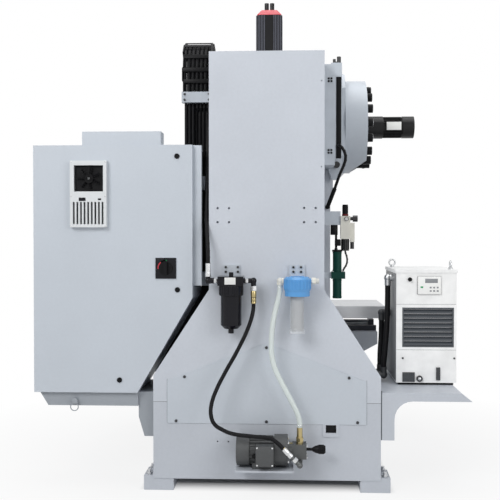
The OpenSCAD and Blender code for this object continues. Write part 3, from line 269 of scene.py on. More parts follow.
def ground_steel(name, rgb, rough=0.32, lay=(6.0, 90.0, 90.0)):
    """Ground steel with fine lines that run along one way"""
    f = Finish(name)
    lines = f.noise(f.stretched(lay), 14.0, 5.0)
    cloud = f.noise(f.place, 5.0)
    shade = f.ramp(lines * 0.6 + cloud * 0.4, 0.3, 0.7)
    base = f.mix(shade, opaque(shaded(rgb, 0.8)), opaque(rgb))
    return f.close(base, rough - 0.1 + 0.2 * lines, 1.0, lines, 0.0001, 0.3)


def moulded(name, rgb, rough=0.45, grain=420.0, drift=0.2, gloss=0.12):
    """Moulded plastic or rubber with a fine grain and faint dust"""
    f = Finish(name)
    dust = f.ramp(f.noise(f.place, 7.0, 5.0), 0.45, 0.8)
    base = f.mix(dust * drift, opaque(rgb), opaque(shaded(rgb, 2.2)))
    return f.close(
        base, rough - 0.05 + 0.14 * dust, 0.0, f.noise(f.place, grain), 0.00015,
        **{"Specular IOR Level": gloss},
    )


def clear(name, rgb, body, rough=0.06):
    """Clear plastic with faint flow streaks: body is how much of it the eye sees"""
    f = Finish(name)
    streak = f.noise(f.stretched((30.0, 30.0, 3.0)), 4.0)
    base = f.mix(streak, opaque(shaded(rgb, 0.93)), opaque(rgb))
    return f.close(
        base, rough + 0.06 * streak, 0.0, f.noise(f.place, 60.0), 0.0001, **{"Alpha": body}
    )


def split(name, first, second, choose, rough, metal=(0.0, 0.0)):
    """Two finishes on one node, chosen by place"""
    f = Finish(name)
    mask = choose(f)
    drift = f.ramp(f.noise(f.place, 12.0, 4.0), 0.35, 0.7)
    one = f.mix(drift, opaque(shaded(first, 0.9)), opaque(first))
    two = f.mix(drift, opaque(shaded(second, 0.85)), opaque(second))
    shine = mask * (rough[1] - rough[0]) + rough[0]
    steel = mask * (metal[1] - metal[0]) + metal[0]
    return f.close(f.mix(mask, one, two), shine, steel, f.noise(f.place, 300.0), 0.00015)


GREY_STEEL = (0.55, 0.56, 0.58)
BRASS = (0.50, 0.41, 0.21)
FILTER_CLOTH = (0.21, 0.195, 0.18)
CREAM = (0.78, 0.76, 0.68)
NEAR_BLACK = (0.012, 0.012, 0.013)
ALL_WAYS = (40.0, 40.0, 40.0)


def air_unit_blacks(f):
    """Where the air unit is black: its two bowls and the side knob"""
    x, z = f.axis(0), f.axis(2)
    return (z < 1.528) + (z > 1.528) * (z < 1.548) * (x > -0.5394) + (z > 1.6545) * (x < -0.5396)


def chiller_brights(f):
    """Where the chiller's fittings are bright: its eyebolts and the upper elbow"""
    x, z = f.axis(0), f.axis(2)
    return (z > 1.352) + (z > 1.24) * (x > -0.8235)


def bracket_blacks(f):
    """Where the brackets have black screws"""
    y, z = f.axis(1), f.axis(2)
    return (y > 1.0121) + (z > 2.3) * (y > 0.7281)


def arm_blacks(f):
    """Where the magazine's bracket has black fittings"""
    x, y, z = (f.axis(n) for n in range(3))
    return (z > 2.7465) * (x > -0.52) + (y > 0.3805) * (x < -0.4365)


def make_finishes():
    """All finishes by name; those that exist already are used again"""
    c = bpy.context.scene.machine_colours
    recipes = {
        # Two copies of the casting paint: the column's is painted lighter and the other castings'
        # darker, as painted light and shade for light that falls off lower down
        "casting": (painted, shaded(c.casting, 0.96), 0.44, 230.0, 0.0003),
        "column_paint": (painted, shaded(c.casting, 1.03), 0.44, 230.0, 0.0003),
        # Painted shade: the cabinet tray's sheet paint darkened to 0.6, for the shadow under the door
        "tray_paint": (painted, shaded(c.sheet, 0.6), 0.42, 330.0, 0.0002, 0.04),
        "sheet": (painted, c.sheet, 0.38, 330.0, 0.0002, 0.04),
        "pale_panel": (painted, (0.66, 0.68, 0.69), 0.4, 300.0, 0.0002, 0.04),
        # Painted shade: dark grey for the chiller's side face, which lies in shadow
        "side_panel": (painted, (0.21, 0.215, 0.22), 0.45, 300.0, 0.0002, 0.05),
        "louvre_paint": (painted, (0.062, 0.070, 0.080), 0.4, 260.0, 0.0002, 0.12),
        "motor_enamel": (painted, c.motor, 0.24, 160.0, 0.0003, 0.2, 0.22),
        "motor_flutes": (painted, (0.125, 0.13, 0.16), 0.4, 160.0, 0.0003, 0.1, 0.3),
        "red_enamel": (painted, c.cap, 0.3, 240.0, 0.0002, 0.1),
        "green_paint": (painted, c.dryer, 0.3, 200.0, 0.0002, 0.12, 0.15),
        "cast_aluminium": (painted, (0.085, 0.088, 0.090), 0.5, 140.0, 0.0005, 0.14, 0.35),
        "steel": (ground_steel, GREY_STEEL),
        "table_steel": (ground_steel, shaded(GREY_STEEL, 1.25)),
        # Painted shade: near-black steel for the X ways, which lie in shadow under the table
        "dark_steel": (ground_steel, (0.05, 0.052, 0.06), 0.4),
        "upright_steel": (ground_steel, GREY_STEEL, 0.3, (90.0, 90.0, 6.0)),
        "bright_steel": (ground_steel, (0.72, 0.73, 0.74), 0.26, ALL_WAYS),
        "brass": (ground_steel, BRASS, 0.28, ALL_WAYS),
        "black_plastic": (moulded, c.plastic),
        "rubber": (moulded, (0.008, 0.008, 0.009), 0.5, 520.0, 0.3),
        "gloss_black": (moulded, (0.005, 0.005, 0.008), 0.16, 120.0, 0.2, 0.22),
        "cream": (moulded, CREAM, 0.42, 300.0, 0.1),
        "pale_plate": (moulded, (0.74, 0.74, 0.72), 0.4, 240.0, 0.05),
        "white_plate": (moulded, (0.88, 0.88, 0.86), 0.4, 240.0, 0.05),
        "grey_mark": (moulded, (0.26, 0.27, 0.28), 0.45, 240.0, 0.1),
        "dark_red": (moulded, (0.14, 0.018, 0.018), 0.4, 240.0, 0.1),
        "green_mark": (moulded, (0.03, 0.34, 0.12), 0.4, 240.0, 0.1),
        "pleats": (moulded, FILTER_CLOTH, 0.85, 180.0, 0.05),
        "clear_tube": (clear, (0.80, 0.86, 0.83), 0.66, 0.2),
        "clear_bowl": (clear, (0.86, 0.89, 0.92), 0.34),
        "blue_cap": (
            split, c.filter_cap, (0.68, 0.68, 0.64),
            lambda f: abs(f.axis(0) - BLUE_FILTER_X) > 0.083, (0.22, 0.4),
        ),
        "air_body": (split, CREAM, NEAR_BLACK, air_unit_blacks, (0.4, 0.25)),
        "pump_metal": (
            split, (0.11, 0.115, 0.115), BRASS, lambda f: f.axis(2) > 0.3271, (0.45, 0.3), (0.6, 1.0)
        ),
        "chiller_case": (
            split, c.chiller, NEAR_BLACK, lambda f: f.axis(2) < 0.6279, (0.36, 0.6)
        ),
        "chiller_trim": (
            split, (0.05, 0.052, 0.056), (0.62, 0.63, 0.64), chiller_brights, (0.4, 0.3), (0.2, 1.0)
        ),
        "screw_steel": (
            split, GREY_STEEL, (0.05, 0.05, 0.055), lambda f: f.axis(2) > 0.25,
            (0.32, 0.4), (1.0, 0.4),
        ),
        "bracket_paint": (split, c.sheet, NEAR_BLACK, bracket_blacks, (0.4, 0.35)),
        "arm_paint": (split, c.sheet, NEAR_BLACK, arm_blacks, (0.38, 0.4)),
        "gear_panel": (
            split, (0.60, 0.61, 0.62), (0.06, 0.062, 0.068), lambda f: f.axis(1) > 0.5695,
            (0.4, 0.45), (0.8, 0.0),
        ),
    }
    made = {}
    for finish, (make, *values) in recipes.items():
        name = f"machine_{finish}"  # the frame has materials with the slots' names
        made[finish] = bpy.data.materials.get(name) or make(name, *values)
    return made


NODE_FINISH = {
    "column_paint": ["column"],
    "tray_paint": ["cabinet_tray"],
    "casting": ["bed", "saddle", "head", "arm_gearbox", "pump_shelf", "chiller_shelf"],
    "sheet": ["rear_cover", "cabinet_shell", "door", "magazine_cover"],
    "arm_paint": ["magazine_bracket"],
    "bracket_paint": ["brackets"],
    "pale_panel": ["heat_exchanger", "magazine_disc"],
    "chiller_case": ["chiller_case"],
    "louvre_paint": ["chiller_louvre"],
    "chiller_trim": ["chiller_fittings"],
    "motor_enamel": ["y_motor", "z_motor", "x_motor", "spindle_motor", "magazine_gearmotor"],
    "cast_aluminium": ["pump_motor"],
    "pump_metal": ["pump_body"],
    "green_paint": ["air_dryer"],
    "air_body": ["air_unit"],
    "table_steel": ["table"],
    "dark_steel": ["x_ways"],
    "steel": ["x_screw", "change_arm"],
    "upright_steel": [
        "guide_rails", "spindle_housing", "spindle", "y_screw", "z_screw", "arm_sleeve",
    ],
    "screw_steel": ["fasteners"],
    "gear_panel": ["mounting_panel"],
    "black_plastic": [
        "energy_chain", "tool_pots", "door_fan", "switch_handle", "lock_top", "lock_middle",
        "lock_bottom", "regulator_knob", "pump_handle", "chiller_knob",
    ],
    "rubber": ["cable_bundle"],
    "gloss_black": ["black_filter_head", "black_filter_bowl"],
    "blue_cap": ["blue_filter_head"],
    "clear_bowl": ["blue_filter_bowl"],
    "pleats": ["blue_filter_element"],
}


# Modelling helpers


def nothing_selected():
    """Object mode with an empty selection"""
    if bpy.context.mode != "OBJECT":
        bpy.ops.object.mode_set(mode="OBJECT")
    bpy.ops.object.select_all(action="DESELECT")


def only(obj):
    """Select one object and make it active"""
    nothing_selected()
    obj.select_set(True)
    bpy.context.view_layer.objects.active = obj


def labelled(name):
    """Name the active object and its data"""
    obj = bpy.context.active_object
    obj.name = name
    obj.data.name = name
    return obj


def named(name):
    """Name the new object and put its place into its mesh"""
    bpy.ops.object.transform_apply(location=True, rotation=True, scale=True)
    return labelled(name)


def facing(axis):
    """The rotation that turns +Z along an axis"""
    return Vector(axis).to_track_quat("Z", "Y").to_euler()


def soften(obj, edge, steps=2):
    """Round every edge of a block"""
    only(obj)
    bpy.ops.object.mode_set(mode="EDIT")
    bpy.ops.mesh.select_all(action="SELECT")
    bpy.ops.mesh.bevel(offset=edge, segments=steps, affect="EDGES")
    bpy.ops.object.mode_set(mode="OBJECT")
    return obj


def block(name, low, high, edge=0.001, steps=2):
    """A block between two corners with rounded edges"""
    nothing_selected()
    low, high = Vector(low), Vector(high)
    bpy.ops.mesh.primitive_cube_add(size=1, location=(low + high) / 2, scale=high - low)
    return soften(named(name), edge, steps)


def turned(name, start, axis, profile, sides=32):
    """A turned piece: a disc extruded step by step along its axis to each radius and height"""
    nothing_selected()
    radius, height = profile[0]
    bpy.ops.mesh.primitive_circle_add(
        vertices=sides, radius=radius, fill_type="NGON", location=(0, 0, height)
    )
    bpy.ops.object.mode_set(mode="EDIT")
    bpy.ops.mesh.select_all(action="SELECT")
    for wide, high in profile[1:]:
        bpy.ops.mesh.extrude_region_move(TRANSFORM_OT_translate={"value": (0, 0, high - height)})
        bpy.ops.transform.resize(
            value=(wide / radius, wide / radius, 1), center_override=(0, 0, high)
        )
        radius, height = wide, high
    bpy.ops.mesh.select_all(action="SELECT")
    bpy.ops.mesh.normals_make_consistent(inside=False)
    bpy.ops.object.mode_set(mode="OBJECT")
    obj = bpy.context.active_object
    obj.rotation_euler = facing(axis)
    foot = Vector((0, 0, profile[0][1]))
    obj.location = Vector(start) + obj.rotation_euler.to_matrix() @ foot
    return named(name)


def nut(name, start, axis, radius, lip, height, sides=6):
    """A nut or collar that narrows by lip at both ends"""
    chamfer = 0.002
    return turned(
        name, start, axis,
        [(radius - lip, 0), (radius, chamfer), (radius, height - chamfer), (radius - lip, height)],
        sides,
    )


def ring(name, centre, axis, radius, thick, sides=40):
    """A wire ring about an axis"""
    nothing_selected()
    bpy.ops.mesh.primitive_torus_add(
        location=centre, rotation=facing(axis), major_radius=radius, minor_radius=thick,
        major_segments=sides, minor_segments=8,
    )
    return named(name)


def repeated(obj, shifts):
    """Copies of a piece, each with its own mesh, moved by the given shifts"""
    made = []
    for shift in shifts:
        twin = obj.copy()
        twin.data = obj.data.copy()
        bpy.context.scene.collection.objects.link(twin)
        twin.data.transform(shift if isinstance(shift, Matrix) else Matrix.Translation(shift))
        made.append(twin)
    bpy.data.objects.remove(obj)
    return made


def joined(name, pieces):
    """One piece made of several"""
    nothing_selected()
    for piece in pieces:
        piece.select_set(True)
    bpy.context.view_layer.objects.active = pieces[0]
    if len(pieces) > 1:
        bpy.ops.object.join()
    return labelled(name)


def turned_about(point, axis, degrees):
    """A turn about an axis through a point"""
    there = Matrix.Translation(point)
    return there @ Matrix.Rotation(math.radians(degrees), 4, Vector(axis)) @ there.inverted()


def dress(obj, finish, angle=35):
    """Smooth a piece up to an angle in degrees and give it its finish"""
    only(obj)
    bpy.ops.object.shade_smooth_by_angle(angle=math.radians(angle))
    obj.data.materials.clear()
    obj.data.materials.append(make_finishes()[finish])


def settle(obj, finish, body="frame"):
    """Dress a piece and let it ride on its body"""
    dress(obj, finish)
    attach(obj, body)


def tube_along(name, route, radius):
    """A round tube on a smooth curve through the route's points"""
    nothing_selected()
    bpy.ops.curve.primitive_bezier_curve_add()
    obj = labelled(name)
    line = obj.data
    line.dimensions = "3D"
    spline = line.splines[0]
    spline.bezier_points.add(len(route) - 2)
    for point, place in zip(spline.bezier_points, route):
        point.co = Vector(place)
        point.handle_left_type = point.handle_right_type = "AUTO"
    line.bevel_depth = radius
    line.bevel_resolution = 4
    line.resolution_u = 8
    line.use_fill_caps = True
    obj.location = (0, 0, 0)
    return obj


# Pieces that repeat


def grid(xs, ys, zs):
    """All places with one of the given values on each axis"""
    return list(itertools.product(xs, ys, zs))


def bolts(name, places, axis, radius, height, sides=6):
    """Screw heads of one kind at several places, each with a chamfer and a sunk drive"""
    drive = radius * 0.45
    head = turned(
        name, (0, 0, 0), axis,
        [(radius * 0.98, 0), (radius, height * 0.15), (radius, height * 0.8),
         (radius * 0.86, height), (drive, height), (drive, height * 0.45)],
        sides,
    )
    return joined(name, repeated(head, places))


def ribs_around(name, start, axis, radius, rib, count):
    """Ribs about an axis: rib gives their depth, width and length along the axis"""
    depth, width, long = rib
    across = axis.orthogonal().normalized()
    base = Matrix((across, axis.cross(across), axis)).transposed().to_4x4()
    bar = block(
        name, (radius - 0.002, -width / 2, 0), (radius + depth, width / 2, long), width * 0.25, 1
    )
    there = Matrix.Translation(start)
    turns = [there @ Matrix.Rotation(math.tau * k / count, 4, axis) @ base for k in range(count)]
    return joined(name, repeated(bar, turns))


def arc(name, centre, inner, outer, thick, first, last):
    """A flat arc on a face that looks to the rear, between two angles"""
    nothing_selected()
    bpy.ops.mesh.primitive_plane_add(
        size=1, location=((inner + outer) / 2, 0, 0), rotation=(math.pi, 0, 0)
    )
    bpy.context.active_object.scale = (outer - inner, thick, 1)
    obj = named(name)
    bpy.ops.object.mode_set(mode="EDIT")
    bpy.ops.mesh.select_all(action="SELECT")
    bpy.ops.mesh.spin(
        steps=24, angle=math.radians(last - first), center=(0, 0, 0), axis=(0, 1, 0)
    )
    bpy.ops.mesh.select_all(action="SELECT")
    bpy.ops.mesh.remove_doubles(threshold=0.00001)
    bpy.ops.mesh.normals_make_consistent(inside=False)
    bpy.ops.object.mode_set(mode="OBJECT")
    obj.data.transform(Matrix.Translation(centre) @ Matrix.Rotation(math.radians(first), 4, "Y"))
    return obj


def axis_motor(name, seat, along, side, long, body):
    """Flutes, end cap and cable cover of a servo motor that stands on seat and points along"""
    place = Matrix.Translation(seat) @ along.to_track_quat("Z", "Y").to_matrix().to_4x4()
    half = side * 0.46
    top = long * 0.88
    rib = block(
        name, (-0.0022, half - 0.001, side * 0.16), (0.0022, half + side * 0.02, top - 0.004),
        0.001, 1,
    )
    steps = [half * k / 8 for k in range(-7, 8) if abs(k) > 2]
    shifts = [
        place @ Matrix.Rotation(math.radians(face), 4, "Z") @ Matrix.Translation((x, 0, 0))
        for face in (0, 90, 180, 270) for x in steps
    ]
    settle(joined(f"{name}_flutes", repeated(rib, shifts)), "motor_flutes", body)
    wide, tip = (share * side * math.sqrt(2) + 0.0014 for share in (0.44, 0.27))
    cap = turned(
        f"{name}_cap", (0, 0, top - 0.001), UP,
        [(wide, 0), (wide, 0.003), (tip, long - top + 0.0018)], 4,
    )
    soften(cap, 0.0012).data.transform(place @ Matrix.Rotation(math.radians(45), 4, "Z"))
    settle(cap, "red_enamel", body)
    cover = block(
        f"{name}_cable_cover", (-side * 0.165, half - 0.002, side * 0.13),
        (side * 0.165, half + 0.012, long + 0.001), 0.004,
    )
    cover.data.transform(place)
    settle(cover, "black_plastic", body)


# Operators


class MACHINE_OT_stage(bpy.types.Operator):
    """Floor, lights, world and the camera at the photograph's place"""

    bl_idname = "machine.stage"
    bl_label = "Stage"

    def execute(self, context):
        nothing_selected()
        bpy.ops.mesh.primitive_plane_add(size=60, location=(0, 0, -0.001))
        floor = named("studio_floor")
        pale = Finish("studio_floor")
        grain = pale.noise(pale.place, 3.0)
        tint = pale.mix(grain, opaque((0.70, 0.70, 0.70)), opaque((0.74, 0.74, 0.74)))
        matte = pale.node("ShaderNodeBsdfDiffuse", {"Color": tint})
        glow = pale.node("ShaderNodeEmission", {"Color": (1, 1, 1, 1), "Strength": 1.0})
        away = pale.node("ShaderNodeVectorMath", {0: pale.place}, out=1, operation="LENGTH")
        beside = (abs(pale.axis(0)) - 0.70) * 11.0
        behind = (pale.axis(1) - 0.82) * 5.5
        clear_of_bed = pale.ramp(beside.maximum(behind), 0.0, 1.0)
        share = clear_of_bed * (pale.ramp(away, 1.3, 2.8) * 0.16 + 0.84)
        lit = pale.node("ShaderNodeMixShader", {0: pale.seen() * share, 1: matte, 2: glow})
        pale.node("ShaderNodeOutputMaterial", {"Surface": lit})
        floor.data.materials.append(pale.material)

        world = bpy.data.worlds.new("studio")
        context.scene.world = world
        world.use_nodes = True
        sky = Nodes(world.node_tree)
        soft, white = (
            sky.node("ShaderNodeBackground", {"Color": opaque(rgb), "Strength": strength})
            for rgb, strength in (((0.95, 0.97, 1.0), 0.36), ((1, 1, 1), 1.0))
        )
        both = sky.node("ShaderNodeMixShader", {0: sky.seen(), 1: soft, 2: white})
        sky.node("ShaderNodeOutputWorld", {"Surface": both})

        for name, place, aim, power, size in (
            ("key", (3.6, 6.2, 5.2), (0.2, 0.6, 1.3), 250, 3.2),
            ("fill", (-4.6, 5.2, 3.4), (-0.3, 0.5, 1.2), 125, 3.4),
            ("top", (0.0, 0.4, 6.8), (0.0, 0.2, 0.0), 150, 4.5),
        ):
            nothing_selected()
            way = facing(Vector(place) - Vector(aim))
            bpy.ops.object.light_add(type="AREA", location=place, rotation=way)
            lamp = context.active_object
            lamp.name = name
            lamp.data.energy = power
            lamp.data.size = size

        nothing_selected()
        place, aim = Vector((-0.131, 6.0, 1.574)), Vector((0.147, 0.0, 1.464))
        bpy.ops.object.camera_add(location=place, rotation=facing(place - aim))
        camera = context.active_object
        camera.name = "photo_camera"
        camera.data.lens = 59.04
        camera.data.sensor_width = 36
        context.scene.camera = camera
        context.scene.view_settings.view_transform = "Standard"
        return {"FINISHED"}


class MACHINE_OT_hoses(bpy.types.Operator):
    """The four hoses, each in the place of its solid"""

    bl_idname = "machine.hoses"
    bl_label = "Hoses"

    def execute(self, context):
        s = context.scene.machine_sizes
        rubber, tube = ("rubber", "hose_rubber", "stiff"), ("clear_tube", "clear_tube", "medium")
        for name, node, run, wide, (finish, slot, stiffness) in (
            ("pressure_hose", "black_hose", BLACK_ROUTE, s.black_hose, rubber),
            ("drain_hose", "clear_hose", CLEAR_ROUTE, s.clear_hose, tube),
            ("chiller_supply", "supply_hose", SUPPLY_ROUTE, s.chiller_hose, rubber),
            ("chiller_return", "return_hose", RETURN_ROUTE, s.chiller_hose, rubber),
        ):
            route = [tuple(c / 1000 for c in point) for point in run]
            hose = tube_along(name, route, wide / 2)
            hose.data.materials.append(make_finishes()[finish])
            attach(hose, "frame")
            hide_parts(node)
        return {"FINISHED"}


class MACHINE_OT_finishes(bpy.types.Operator):
    """Finishes of the CAD nodes"""

    bl_idname = "machine.finishes"
    bl_label = "Finishes"

    def execute(self, context):
        finishes = make_finishes()
        for finish, nodes in NODE_FINISH.items():
            for node in nodes:
                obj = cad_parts[node]
                obj.data.materials.clear()
                obj.data.materials.append(finishes[finish])
        return {"FINISHED"}


class MACHINE_OT_energy_chain(bpy.types.Operator):
    """Links of the energy chain and the cables in it"""

    bl_idname = "machine.energy_chain"
    bl_label = "Energy chain"

    def execute(self, context):
        wide, thick, pitch, bend = 0.196, 0.056, 0.090, 0.175
        mid_x, rear_y, low, top, end = 0.456, 0.700, 2.498, 2.647, 2.2025
        half, front_y = wide / 2, rear_y - 2 * bend

        def bent(angle):
            """Y and Z on the bend, counted from the rear run"""
            return rear_y - bend + bend * math.cos(angle), top + bend * math.sin(angle)

        sides = [
            block("link", (x, -thick / 2, -0.046), (x + 0.011, thick / 2, 0.046), 0.008, 3)
            for x in (-half, half - 0.010)
        ]
        bars = [
            block("link", (-half + 0.004, y, 0.016), (half - 0.004, y + 0.007, 0.042), 0.002)
            for y in (-thick / 2 + 0.001, thick / 2 - 0.008)
        ]
        stud = [(0.010, 0), (0.010, 0.0015), (0.008, 0.0025)]
        studs = [
            turned("link", (x, 0, 0.034), way, stud, 16) for x, way in ((-half, LEFT), (half, RIGHT))
        ]
        link = joined("link", sides + bars + studs)
        rise, turn = round((top - low) / pitch), round(math.pi * bend / pitch)
        drop = round((top - end) / pitch)
        spots = [(rear_y, top - (k + 0.5) * (top - low) / rise, 0, k) for k in reversed(range(rise))]
        angles = [(k + 0.5) * math.pi / turn for k in range(turn)]
        spots += [(*bent(a), a, k + 1) for k, a in enumerate(angles)]
        spots += [
            (front_y, top - (k + 0.5) * (top - end) / drop, 0, k + turn + 1) for k in range(drop)
        ]
        shifts = [
            Matrix.Translation((mid_x, y, z)) @ Matrix.Rotation(a, 4, "X")
            @ Matrix.Diagonal((0.985 - 0.07 * (k % 2), 0.97, 1, 1))
            for y, z, a, k in spots
        ]
        chain = joined("chain_links", repeated(link, shifts))
        dress(chain, "black_plastic")
        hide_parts("energy_chain")

        run = [(rear_y, z) for z in (low - 0.001, low + 0.07, top)]
        run += [bent(math.pi * k / 12) for k in range(1, 12)]
        run += [(front_y, z) for z in (top, 2.45, 2.30, end)]
        cables = []
        for k in range(-3, 4):
            only(tube_along("chain_cable", [(mid_x + 0.027 * k, y, z) for y, z in run], 0.0132))
            bpy.ops.object.convert(target="MESH")
            cables.append(bpy.context.active_object)
        bundle = joined("chain_cables", cables)
        dress(bundle, "rubber", 50)
        for piece in (chain, bundle):
            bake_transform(piece)
        return {"FINISHED"}


class MACHINE_OT_servo_motors(bpy.types.Operator):
    """Trim of the three axis motors"""

    bl_idname = "machine.servo_motors"
    bl_label = "Servo motors"

    def execute(self, context):
        axis_motor("z_servo", (0, 0.215, 2.793), UP, 0.190, 0.345, "frame")
        axis_motor("y_servo", (0, -1.175, 0.585), FRONT, 0.116, 0.240, "frame")
        axis_motor("x_servo", (0.825, -0.48, 0.878), RIGHT, 0.116, 0.240, "saddle")
        return {"FINISHED"}


class MACHINE_OT_cabinet(bpy.types.Operator):
    """Trim of the cabinet's door and of the gear and cables behind it"""

    bl_idname = "machine.cabinet"
    bl_label = "Electrical cabinet"

    def execute(self, context):
        low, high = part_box("heat_exchanger")
        face = high.y
        linings = [
            block("lining", (0.9985, 1.0081, 1.8405), (1.1775, 1.0089, 1.9995), 0.0002, 1),
            block("lining", (0.9945, 1.0101, 1.6405), (1.1895, 1.0107, 1.7755), 0.0002, 1),
        ]
        settle(joined("exchanger_linings", linings), "rubber", "door")
        fan = Vector((1.088, face - 0.002, 1.920))
        wires = [ring("guard", fan, REAR, 0.014 * k, 0.0013, 48) for k in range(1, 6)]
        bars = [
            ((-a, -0.0022, -b), (a, -0.0002, b), 0.0006)
            for a, b in ((0.088, 0.0015), (0.0015, 0.078))
        ]
        bars += [
            ((x - 0.0012, -0.0022, -0.079), (x + 0.0012, 0, 0.079), 0.0005)
            for x in (-0.0885, 0.0885)
        ]
        bars += [
            ((-0.0895, -0.0022, z - 0.0012), (0.0895, 0, z + 0.0012), 0.0005)
            for z in (-0.0785, 0.0785)
        ]
        wires += [block("guard", fan + Vector(a), fan + Vector(b), edge, 1) for a, b, edge in bars]
        settle(joined("fan_guard", wires), "black_plastic", "door")
        displays = [
            block("display", (1.106, face, 1.782), (1.148, face + 0.0015, 1.803), 0.0005),
            block("display", (1.010, face, 1.787), (1.030, face + 0.001, 1.798), 0.0004),
        ]
        settle(joined("exchanger_display", displays), "gloss_black", "door")
        corners = grid(
            (low.x + 0.008, high.x - 0.008), (face,), (low.z + 0.008, 1.812, high.z - 0.008)
        )
        screws = bolts("exchanger_screws", corners, REAR, 0.004, 0.0024, 16)
        settle(screws, "bright_steel", "door")
        plate = block("switch_plate", (0.5525, 1.0052, 1.3055), (0.6815, 1.00625, 1.4345), 0.0005)
        settle(plate, "gloss_black", "door")
        for name, first, last, finish in (
            ("switch_red", 5, 100, "red_enamel"), ("switch_green", 310, 355, "green_mark"),
        ):
            mark = arc(name, (0.617, 1.0067, 1.370), 0.0445, 0.0515, 0.0012, first, last)
            settle(mark, finish, "door")

        sleeves, fold = [], 0.011
        for k in range(5):
            foot = 1.290 + 0.023 * k
            folds = [(0.0114 - 0.0006 * (i % 2), fold * i) for i in range(int((2.150 - foot) / fold))]
            sleeves.append(turned("sleeve", (0.365 + 0.023 * k, 0.460, foot), UP, folds, 16))
        settle(joined("cable_sleeves", sleeves), "rubber")
        # Painted shade: a black sheet and a slanted flap fill the gap between the cabinet and the
        # column's foot, where there is only shadow
        sheet = block("sheet", (0.357, 0.4405, 1.245), (0.470, 0.4480, 2.140))
        flap = block("sheet", (0.358, 0.4405, 0.640), (0.448, 0.4480, 1.245))
        lean, knee = Matrix.Identity(4), Matrix.Translation((0, 0, 1.240))
        lean[0][2] = -0.6485
        flap.data.transform(knee @ lean @ knee.inverted())
        settle(joined("cable_gap_shade", [sheet, flap]), "rubber")
        edge = block("edge", (0.400, 0.958, 1.262), (0.455, 0.961, 2.126))
        lip = block("edge", (0.400, 0.940, 1.262), (0.403, 0.961, 2.126))
        settle(joined("cabinet_edge", [edge, lip]), "sheet")
        lead = turned(
            "lead", (0.372, 0.660, 2.128), UP, [(0.012, 0), (0.0125, 0.004), (0.0125, 0.299)], 20
        )
        leads = joined("rear_leads", repeated(lead, [(0.024 * k, 0, 0) for k in range(7)]))
        settle(leads, "rubber")

        fronts, blacks, y = [], [], 0.7084
        for x in (1.294 - 0.112 * k for k in range(4)):
            fronts.append(block("front", (x + 0.003, y, 1.645), (x + 0.097, y + 0.004, 2.025), 0.002))
            blacks.append(
                block("screen", (x + 0.025, y + 0.004, 1.955), (x + 0.075, y + 0.0055, 1.985))
            )
            blacks += [
                block("socket", (x + 0.02, y + 0.004, z), (x + 0.08, y + 0.0085, z + 0.028), 0.002)
                for z in (1.68, 1.73, 1.78, 1.83)
            ]
        settle(joined("drive_fronts", fronts), "pale_plate")
        settle(joined("drive_screens", blacks), "black_plastic")
        return {"FINISHED"}


class MACHINE_OT_magazine(bpy.types.Operator):
    """Trim of the tool magazine and its gearmotor"""

    bl_idname = "machine.magazine"
    bl_label = "Tool magazine"

    def execute(self, context):
        # Painted shade: a black block fills the channel in the magazine bracket, which lies in shadow
        cover = block("magazine_slot_shade", (-0.4925, 0.3205, 2.0955), (-0.4575, 0.3785, 2.6495), 0.003)
        settle(cover, "black_plastic")
        plate = block("gearmotor_plate", (-1.003, -0.382, 2.384), (-0.891, -0.3806, 2.446), 0.0006)
        settle(plate, "white_plate")
        motor = (-1.012, MAGAZINE_Y, MAGAZINE_Z)
        settle(
            ribs_around("gearmotor_fins", motor, RIGHT, 0.074, (0.008, 0.004, 0.140), 28),
            "motor_enamel",
        )
        end = (-1.1075, MAGAZINE_Y, MAGAZINE_Z)
        rings = [ring("vent", end, RIGHT, r, 0.002) for r in (0.022, 0.038, 0.054, 0.07)]
        settle(joined("gearmotor_vent", rings), "black_plastic")
        heads = grid((-0.543,), (-0.66, -0.54, -0.42, -0.30), (2.7899,))
        settle(bolts("magazine_plate_bolts", heads, UP, 0.009, 0.007), "gloss_black")
        groups = grid((-0.412, -0.394), (0.64,), (2.108, 2.126, 2.572, 2.590))
        settle(bolts("magazine_bracket_bolts", groups, REAR, 0.0075, 0.006), "gloss_black")
        rims = []
        for a in (math.tau * k / POTS for k in range(POTS)):
            y, z = MAGAZINE_Y + POT_CIRCLE * math.sin(a), MAGAZINE_Z - POT_CIRCLE * math.cos(a)
            rims.append(ring("band", (-0.7655, y, z), RIGHT, 0.0275, 0.0025, 24))
        settle(joined("pot_rims", rims), "steel", "magazine")
        return {"FINISHED"}


